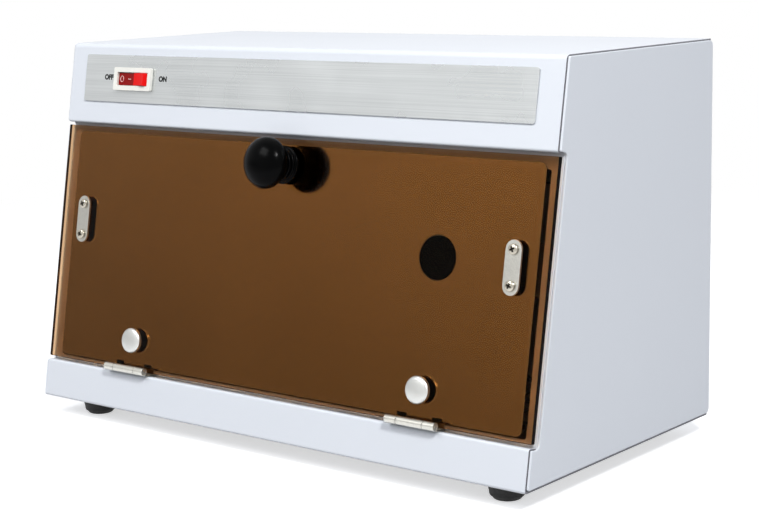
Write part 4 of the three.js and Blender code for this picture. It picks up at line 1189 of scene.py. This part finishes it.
@dataclass
class Knob(Assembly):
    """The mushroom knob and the screw that holds it."""

    up_mm: float = 157.476
    out_mm: float = -1.3
    height_mm: float = 25.2
    head_mm: float = 14.8
    rim_mm: float = 15.6
    under_mm: float = 11.2
    neck_mm: float = 9.4
    base_mm: float = 11.0
    base_height_mm: float = 1.6
    base_foot_mm: float = 0.5
    base_round_mm: float = 0.7
    ring_mm: float = 10.6
    ring_round_mm: float = 0.9
    ring_half_mm: float = 1.1
    ring_drop_mm: float = 1.0
    ring_count: int = 3
    ring_pitch_mm: float = 3.0
    bore_mm: float = 2.3
    bore_depth_mm: float = 10.5
    dome_steps: int = 24
    facets: int = 96
    screw: CrossScrew = CrossScrew(4.0, 1.0, 1.9, 13.0)
    screw_out_mm: float = -5.7

    def profile(self) -> Profile:
        """Draws the knob's section.

        Returns:
            Its points, from the end of its bore round to the top of its head.
        """
        deep, foot, edge = self.bore_depth_mm, self.base_foot_mm, self.base_round_mm
        points: Profile = [(0.0, deep), (self.bore_mm, deep), (self.bore_mm, 0.0)]
        points += arc(self.base_mm - foot, foot, foot, -90.0, 0.0, 3)
        points += arc(self.base_mm - edge, self.base_height_mm - edge, edge, 0.0, 90.0, 5)
        for i in range(self.ring_count):
            ring_at = self.base_height_mm + (i + 1) * self.ring_pitch_mm - self.ring_drop_mm
            points.append((self.neck_mm, ring_at - self.ring_half_mm))
            points += arc(self.ring_mm - self.ring_round_mm, ring_at, self.ring_round_mm, -80.0, 80.0, 8)
            points.append((self.neck_mm, ring_at + self.ring_half_mm))
        reach, under = self.head_mm - self.neck_mm, self.rim_mm - self.under_mm
        points += arc(self.neck_mm, self.rim_mm, reach, -90.0, 0.0, self.dome_steps // 2, under)
        first_deg, dome = 90.0 / self.dome_steps, self.height_mm - self.rim_mm
        return points + arc(0.0, self.rim_mm, self.head_mm, first_deg, 90.0, self.dome_steps - 1, dome)

    def build(self) -> None:
        """Makes the knob and its screw."""
        place = FRONT.place(0.0, self.out_mm, self.up_mm)
        knob = turned("knob_ball", self.profile(), place, self.facets)
        self.fit(knob, "black_plastic", Body.DOOR, "door_knob")
        seat = FRONT.place(0.0, self.screw_out_mm, self.up_mm) @ Matrix.Rotation(math.pi, 4, "X")
        self.drive(self.screw, "knob_screw", seat, Body.DOOR)


@dataclass
class Catch(Assembly):
    """A strike plate with its two screws, and the magnet that it closes on."""

    side: Side
    x_mm: float = 162.5
    up_mm: float = 114.076
    seat_out_mm: float = 0.2
    pitch_mm: float = 19.0
    plate_edge_mm: float = 0.35
    magnet_edge_mm: float = 0.4
    screw: CrossScrew = CrossScrew(2.9, 1.6, 1.4, 4.2, ("screw_steel", "recess_steel"))
    screw_turn_rad: float = 0.4

    def build(self) -> None:
        """Makes the plate, the screws and the magnet."""
        word = self.side.word
        plate, edge = f"strike_plate_{word}", self.plate_edge_mm
        self.copy(plate, f"strike_{word}", "stainless", edge, 3, body=Body.DOOR)
        for end, way in (("lower", -1), ("upper", 1)):
            up = self.up_mm + way * self.pitch_mm / 2
            place = FRONT.place(self.side.value * self.x_mm, self.seat_out_mm, up)
            turn = Matrix.Rotation(self.screw_turn_rad * way, 4, "Z")
            self.drive(self.screw, f"strike_screw_{word}_{end}", place @ turn, Body.DOOR)
        self.copy(f"catch_magnet_{word}", f"catch_{word}", "ferrite", self.magnet_edge_mm)


@dataclass
class Hinge(Assembly):
    """A hinge at the foot of the door, with the domed cap that holds its door leaf."""

    side: Side
    x_mm: float = 109.7
    leaf_edge_mm: float = 0.18
    pin_edge_mm: float = 0.2
    cap_up_mm: float = 43.6
    cap_out_mm: float = -1.3
    cap_radius_mm: float = 7.6
    cap_lip_mm: float = 0.15
    cap_round_mm: float = 0.3
    cap_rim_mm: float = 2.2
    cap_height_mm: float = 3.7
    cap_facets: int = 72
    dome_from_deg: float = 11.25
    dome_steps: int = 21
    post_radius_mm: float = 2.0
    post_end_mm: float = -4.9

    def cap_profile(self) -> Profile:
        """Draws the cap's section.

        Returns:
            Its points, from the end of its post to the top of its dome.
        """
        inner, rim, edge = self.cap_radius_mm - self.cap_round_mm, self.cap_rim_mm, self.cap_round_mm
        points: Profile = [(0.0, self.post_end_mm), (self.post_radius_mm, self.post_end_mm)]
        points += [(self.post_radius_mm, 0.0), (self.cap_radius_mm - self.cap_lip_mm, 0.0)]
        points += arc(inner, rim - edge, edge, -40.0, 40.0, 4)
        dome = self.cap_height_mm - rim
        return points + arc(0.0, rim, inner, self.dome_from_deg, 90.0, self.dome_steps, dome)

    def build(self) -> None:
        """Makes the two leaves, the pin and the cap."""
        word = self.side.word
        for kind, body in (("fixed", Body.CABINET), ("door", Body.DOOR)):
            node, name = f"hinge_leaf_{kind}_{word}", f"hinge_{kind}_{word}"
            self.copy(node, name, "stainless", self.leaf_edge_mm, 2, FACETED_DEG, body)
        self.copy(f"hinge_pin_{word}", f"pin_{word}", "stainless", self.pin_edge_mm, 2, FACETED_DEG)
        place = FRONT.place(self.side.value * self.x_mm, self.cap_out_mm, self.cap_up_mm)
        cap = turned(f"cap_{word}", self.cap_profile(), place, self.cap_facets, ROUND_SHARP_DEG)
        self.fit(cap, "chrome_cap", Body.DOOR, f"hinge_cap_{word}")


@dataclass
class Lamp(Assembly):
    """The lamp with its filaments, caps and holders, and the reflector over it."""

    tube_mm: float = 7.6
    wall_mm: float = 0.8
    stem_mm: float = 24.0
    foot_mm: float = 3.0
    lead_apart_mm: float = 3.2
    lead_mm: float = 0.25
    coil_mm: float = 0.55
    coil_wire_mm: float = 0.13
    coil_turns: int = 9
    coil_steps: int = 12
    cap_edge_mm: float = 0.3
    holder_edge_mm: float = 0.5
    reflector_edge_mm: float = 0.2
    tube_facets: int = 64
    lead_facets: int = 12

    def build(self) -> None:
        """Makes the tube, the two filaments and the fittings."""
        centre, end = spot("uv_lamp_tube"), spot("uv_lamp_tube", (1.0, 0.0, 0.0))
        profile = self.tube_profile((end.x - centre.x) / MM)
        glass = turned("lamp_glass", profile, facing(centre, (1.0, 0.0, 0.0)), self.tube_facets)
        self.fit(glass, "lamp_quartz", Body.CABINET, "uv_lamp_tube")
        for side in Side:
            word = side.word
            end = spot("uv_lamp_tube", (side.value, 0.0, 0.0))
            self.fit(self.filament(f"lamp_filament_{word}", end, side), "stainless", Body.CABINET)
            cap, name = f"lamp_cap_{word}", f"lamp_end_{word}"
            self.copy(cap, name, "bare_aluminium", self.cap_edge_mm, 2, FACETED_DEG)
            self.copy(f"lamp_holder_{word}", f"holder_{word}", "cream_plastic", self.holder_edge_mm, 3)
        self.copy("lamp_reflector", "reflector", "bare_aluminium", self.reflector_edge_mm)

    def tube_profile(self, half_mm: float) -> Profile:
        """The wall of the glass tube, out along its outside and back along its bore."""
        bore, outside = self.tube_mm - self.wall_mm, self.tube_mm
        return [(bore, -half_mm), (outside, -half_mm), (outside, half_mm), (bore, half_mm), (bore, -half_mm)]

    def filament(self, name: str, end: Vector, side: Side) -> Piece:
        """Makes the two leads of an end of the lamp, with the coil stretched between them.

        Args:
            name: The new piece's name.
            end: The end of the tube, on its axis.
            side: The end that it is.

        Returns:
            The leads and the coil as one piece.
        """
        inwards = Vector((-side.value * MM, 0.0, 0.0))
        apart = Vector((0.0, 0.0, self.lead_apart_mm * MM))
        foot, tip = end + inwards * self.foot_mm, end + inwards * self.stem_mm
        parts = []
        for way in (-1, 1):
            ends = (foot + apart * way, tip + apart * way)
            parts.append(rod(f"{name}_lead_{way}", *ends, self.lead_mm, self.lead_facets))
        points = []
        for i, along in enumerate(spaced(1.0, self.coil_turns * self.coil_steps + 1)):
            angle = 2 * math.pi * i / self.coil_steps
            ring = Vector((math.cos(angle), math.sin(angle), 0.0)) * self.coil_mm * MM
            points.append(tip + apart * along + ring)
        parts.append(tube(name + "_coil", points, self.coil_wire_mm))
        return joined(name, parts)


@dataclass
class Electrics(Assembly):
    """What lies on the partition: ballast, starter, terminal block and wires."""

    edge_mm: float = 0.5
    pieces: tuple[tuple[str, str], ...] = (
        ("ballast", "ballast_steel"),
        ("starter", "bare_aluminium"),
        ("starter_socket", "grey_plastic"),
        ("terminal_block", "grey_plastic"),
    )
    wires: tuple[str, ...] = ("wire_supply", "wire_ballast", "wire_lamp_left", "wire_lamp_right")
    wire_steps: int = 2

    def build(self) -> None:
        """Makes each piece and wire."""
        for node, slot in self.pieces:
            self.copy(node, node + "_body", slot, self.edge_mm, 2, FACETED_DEG)
        for node in self.wires:
            self.fit(self.rounded_wire(node, node + "_lead"), "wire_insulation", Body.CABINET, node)

    def rounded_wire(self, node: str, name: str) -> Piece:
        """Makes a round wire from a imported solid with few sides.

        Args:
            node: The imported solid's name.
            name: The new piece's name.

        Returns:
            The wire, with its ends still flat.
        """
        piece = from_node(node, name)
        shape = bmesh.new()
        shape.from_mesh(piece.data)
        crease = shape.edges.layers.float.new("crease_edge")
        for edge in shape.edges:
            edge[crease] = float(any(len(face.verts) > 4 for face in edge.link_faces))
        shape.to_mesh(piece.data)
        shape.free()
        finer = piece.modifiers.new("finer", "SUBSURF")
        finer.levels = self.wire_steps
        finer.render_levels = self.wire_steps
        return shaded(settled(piece), ROUND_SHARP_DEG)


@dataclass
class Inlet(Assembly):
    """The gland in which the mains lead would be held, and its nut."""

    edge_mm: float = 0.4
    gland_from_deg: float = 30.0

    def build(self) -> None:
        """Makes the gland and the nut."""
        self.copy("cable_gland", "gland_body", "black_plastic", self.edge_mm, 3, self.gland_from_deg)
        self.copy("gland_locknut", "gland_nut", "black_plastic", self.edge_mm)


@dataclass
class Rack(Assembly):
    """The wire rack that the tools lie on, welded from round rods and wires."""

    rod_mm: float = 1.6
    wire_mm: float = 1.2
    overhang_mm: float = 2.0
    leg_mm: float = 7.7
    leg_inset_mm: float = 20.0
    wire_count: int = 15
    runner_count: int = 4
    end_share: float = 0.4
    wire_share: float = 0.8

    def build(self) -> None:
        """Makes the rods and joins them."""
        self.fit(joined("rack_wires", self.rods()), "rack_chrome", Body.CABINET, "wire_rack")

    def rods(self) -> list[Piece]:
        """Makes the rods along the rack, those across it and the legs.

        Returns:
            The rods, each a piece.
        """
        low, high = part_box("wire_rack")
        over, leg = self.overhang_mm * MM, self.leg_mm * MM
        half_x, half_y = (high.x - low.x) / 2 - over, (high.y - low.y) / 2 - over
        lines: list[tuple[Triple, Triple, float]] = []
        for y in spaced(half_y, self.runner_count):
            lines.append(((-half_x - over, y, 0.0), (half_x + over, y, 0.0), self.rod_mm))
        for i, x in enumerate(spaced(half_x, self.wire_count)):
            at_end = i in (0, self.wire_count - 1)
            radius, share = (self.rod_mm, self.end_share) if at_end else (self.wire_mm, self.wire_share)
            rise = self.rod_mm * share * MM
            lines.append(((x, -half_y - over, rise), (x, half_y + over, rise), radius))
        for side in Side:
            x = side.value * (half_x - self.leg_inset_mm * MM)
            lines += [((x, way * half_y, -leg), (x, way * half_y, 0.0), self.wire_mm) for way in (-1, 1)]
        middle = Vector(((low.x + high.x) / 2, (low.y + high.y) / 2, low.z + leg))
        return [
            rod(f"rack_rod_{i}", middle + Vector(start), middle + Vector(stop), radius)
            for i, (start, stop, radius) in enumerate(lines)
        ]


# Studio


class RaySheet(NodeSheet):
    """The nodes of the floor or the room, which look different to different rays."""

    def seen(self) -> Socket:
        """Finds the rays that show the studio itself, straight, mirrored or through glass.

        Returns:
            One for such a ray and zero for any other.
        """
        path = self.node("LightPath", {}).outputs
        shown = self.math("MAXIMUM", path["Is Camera Ray"], path["Is Glossy Ray"])
        shown = self.math("MAXIMUM", shown, path["Is Transmission Ray"])
        unscattered = self.math("LESS_THAN", path["Diffuse Depth"], 0.5)
        return self.math("MULTIPLY", shown, unscattered)

    def far(self, span: Pair) -> Socket:
        """Finds how far out on the floor a point lies.

        Args:
            span: The distances from the object between which it counts.

        Returns:
            Zero at the first distance and one at the second.
        """
        length = self.node("VectorMath", {0: self.where()})
        length.operation = "LENGTH"
        share = self.ranged(length.outputs["Value"], 0.0, 1.0, span)
        share.node.interpolation_type = "SMOOTHSTEP"
        return share

    def cosine(self, towards: Triple) -> Socket:
        """Finds how nearly a ray runs in a direction.

        Args:
            towards: The direction.

        Returns:
            The cosine of the angle between them.
        """
        dot = self.node("VectorMath", {0: self.where("Generated"), 1: Vector(towards).normalized()})
        dot.operation = "DOT_PRODUCT"
        return dot.outputs["Value"]


@dataclass
class SoftBox:
    """A rectangular studio lamp aimed at a point."""

    name: str
    place: Triple
    aim: Triple
    width: float
    height: float
    watts: float
    colour: Colour = (1.0, 1.0, 1.0)

    def build(self) -> None:
        """Hangs the lamp and aims it."""
        lamp = bpy.data.lights.new(self.name, "AREA")
        lamp.shape = "RECTANGLE"
        lamp.size = self.width
        lamp.size_y = self.height
        lamp.energy = self.watts
        lamp.color = self.colour
        holder = linked(self.name, lamp)
        holder.location = self.place
        holder.rotation_euler = (Vector(self.aim) - Vector(self.place)).to_track_quat("-Z", "Y").to_euler()


@dataclass
class Studio:
    """The floor, the soft lamps, the room round them and the camera."""

    eye: Triple = (0.673, -0.823407, 0.2879)
    yaw_deg: float = 39.39
    pitch_deg: float = 10.22
    roll_deg: float = -1.35
    focal_px: float = 1778.4
    image_px: tuple[int, int] = (759, 531)
    centre_px: Pair = (364.7, 267.0)
    sensor_mm: float = 36.0
    nearest: float = 0.05
    floor_radius: float = 9.0
    floor_facets: int = 96
    paper_white: float = 0.9
    paper_bounce: float = 0.38
    paper_lift: float = 0.6
    paper_span: Pair = (0.35, 1.1)
    room_light: Colour = (0.30, 0.32, 0.365)
    dim_towards: Triple = (-0.70, -0.57, -0.427)
    dim_level: float = 0.0
    dim_edge: float = 0.777
    boxes: tuple[SoftBox, ...] = (
        SoftBox("overhead_box", (0.0, 0.15, 1.5), (0.0, 0.0, 0.2), 1.4, 1.0, 0.9, (1.0, 0.93, 0.80)),
        SoftBox("camera_box", (1.25, -0.95, 1.5), (0.0, 0.0, 0.15), 0.32, 0.32, 26.0),
        SoftBox("front_box", (-0.5, -1.5, 1.5), (0.0, 0.0, 0.15), 0.9, 0.8, 16.0),
    )

    def build(self) -> None:
        """Sets up everything round the object."""
        self.floor()
        self.room()
        for box in self.boxes:
            box.build()
        self.camera()

    def floor(self) -> None:
        """Lays a plain white floor, which turns into white light where the lamps' light runs out."""
        shape = bmesh.new()
        bmesh.ops.create_circle(shape, cap_ends=True, segments=self.floor_facets, radius=self.floor_radius)
        floor = meshed("studio_floor", shape)
        paper = bpy.data.materials.new("floor_paper")
        paper.use_nodes = True
        paper.node_tree.nodes.clear()
        sheet = RaySheet(paper.node_tree)
        white, grey = (
            sheet.node("BsdfDiffuse", {"Color": (level, level, level, 1.0)}).outputs[0]
            for level in (self.paper_white, self.paper_bounce)
        )
        lift, bright = (
            sheet.node("Emission", {"Strength": level}).outputs[0] for level in (self.paper_lift, 1.0)
        )
        lifted = sheet.node("AddShader", {0: white, 1: lift}).outputs[0]
        near = sheet.mixed(sheet.far(self.paper_span), lifted, bright)
        sheet.node("OutputMaterial", {"Surface": sheet.mixed(sheet.seen(), grey, near)})
        floor.data.materials.append(paper)

    def room(self) -> None:
        """Lights the room evenly, and shows it white. In mirrors one side of it, front left, is dark."""
        world = bpy.data.worlds.new("studio_room")
        bpy.context.scene.world = world
        world.use_nodes = True
        sheet = RaySheet(world.node_tree)
        light = sheet.tree.nodes["Background"]
        light.inputs["Color"].default_value = (*self.room_light, 1.0)
        span = (self.dim_edge, 1.0)
        level = sheet.ranged(sheet.cosine(self.dim_towards), 1.0, self.dim_level, span)
        level = sheet.math("MAXIMUM", level, sheet.node("LightPath", {}).outputs["Is Camera Ray"])
        shown = sheet.node("Background", {"Color": (1.0, 1.0, 1.0, 1.0), "Strength": level})
        mixed = sheet.mixed(sheet.seen(), light.outputs[0], shown.outputs[0])
        sheet.tree.links.new(mixed, sheet.tree.nodes["World Output"].inputs["Surface"])

    def camera(self) -> None:
        """Stands the camera where the photograph was taken."""
        yaw, pitch, roll = (math.radians(a) for a in (self.yaw_deg, self.pitch_deg, self.roll_deg))
        turn = Matrix.Rotation(yaw, 4, "Z") @ Matrix.Rotation(math.pi / 2 - pitch, 4, "X")
        data = bpy.data.cameras.new("camera")
        wide, high = self.image_px
        data.sensor_width = self.sensor_mm
        data.lens = self.focal_px * self.sensor_mm / wide
        data.shift_x = (wide / 2 - self.centre_px[0]) / wide
        data.shift_y = (self.centre_px[1] - high / 2) / wide
        data.clip_start = self.nearest
        camera = linked("camera", data)
        camera.matrix_world = Matrix.Translation(self.eye) @ turn @ Matrix.Rotation(roll, 4, "Z")
        bpy.context.scene.camera = camera
        bpy.context.scene.view_settings.view_transform = "Standard"


# Main


def main() -> None:
    """Builds the studio and every sub-assembly in order."""
    logging.basicConfig(level=logging.INFO, format="%(name)s: %(message)s")
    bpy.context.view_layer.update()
    Studio().build()
    finishes = {finish.name: finish.make() for finish in FINISHES}
    kinds = (SteelCase, CaseScrews, Feet, Fascia, RockerSwitch, DoorLeaf, Knob)
    assemblies = [kind(finishes) for kind in kinds]
    assemblies += [kind(finishes, side) for kind in (Catch, Hinge) for side in Side]
    assemblies += [kind(finishes) for kind in (Lamp, Electrics, Inlet, Rack)]
    for assembly in assemblies:
        assembly.build()
        LOG.info("built %s", type(assembly).__name__)


if __name__ == "__main__":
    main()
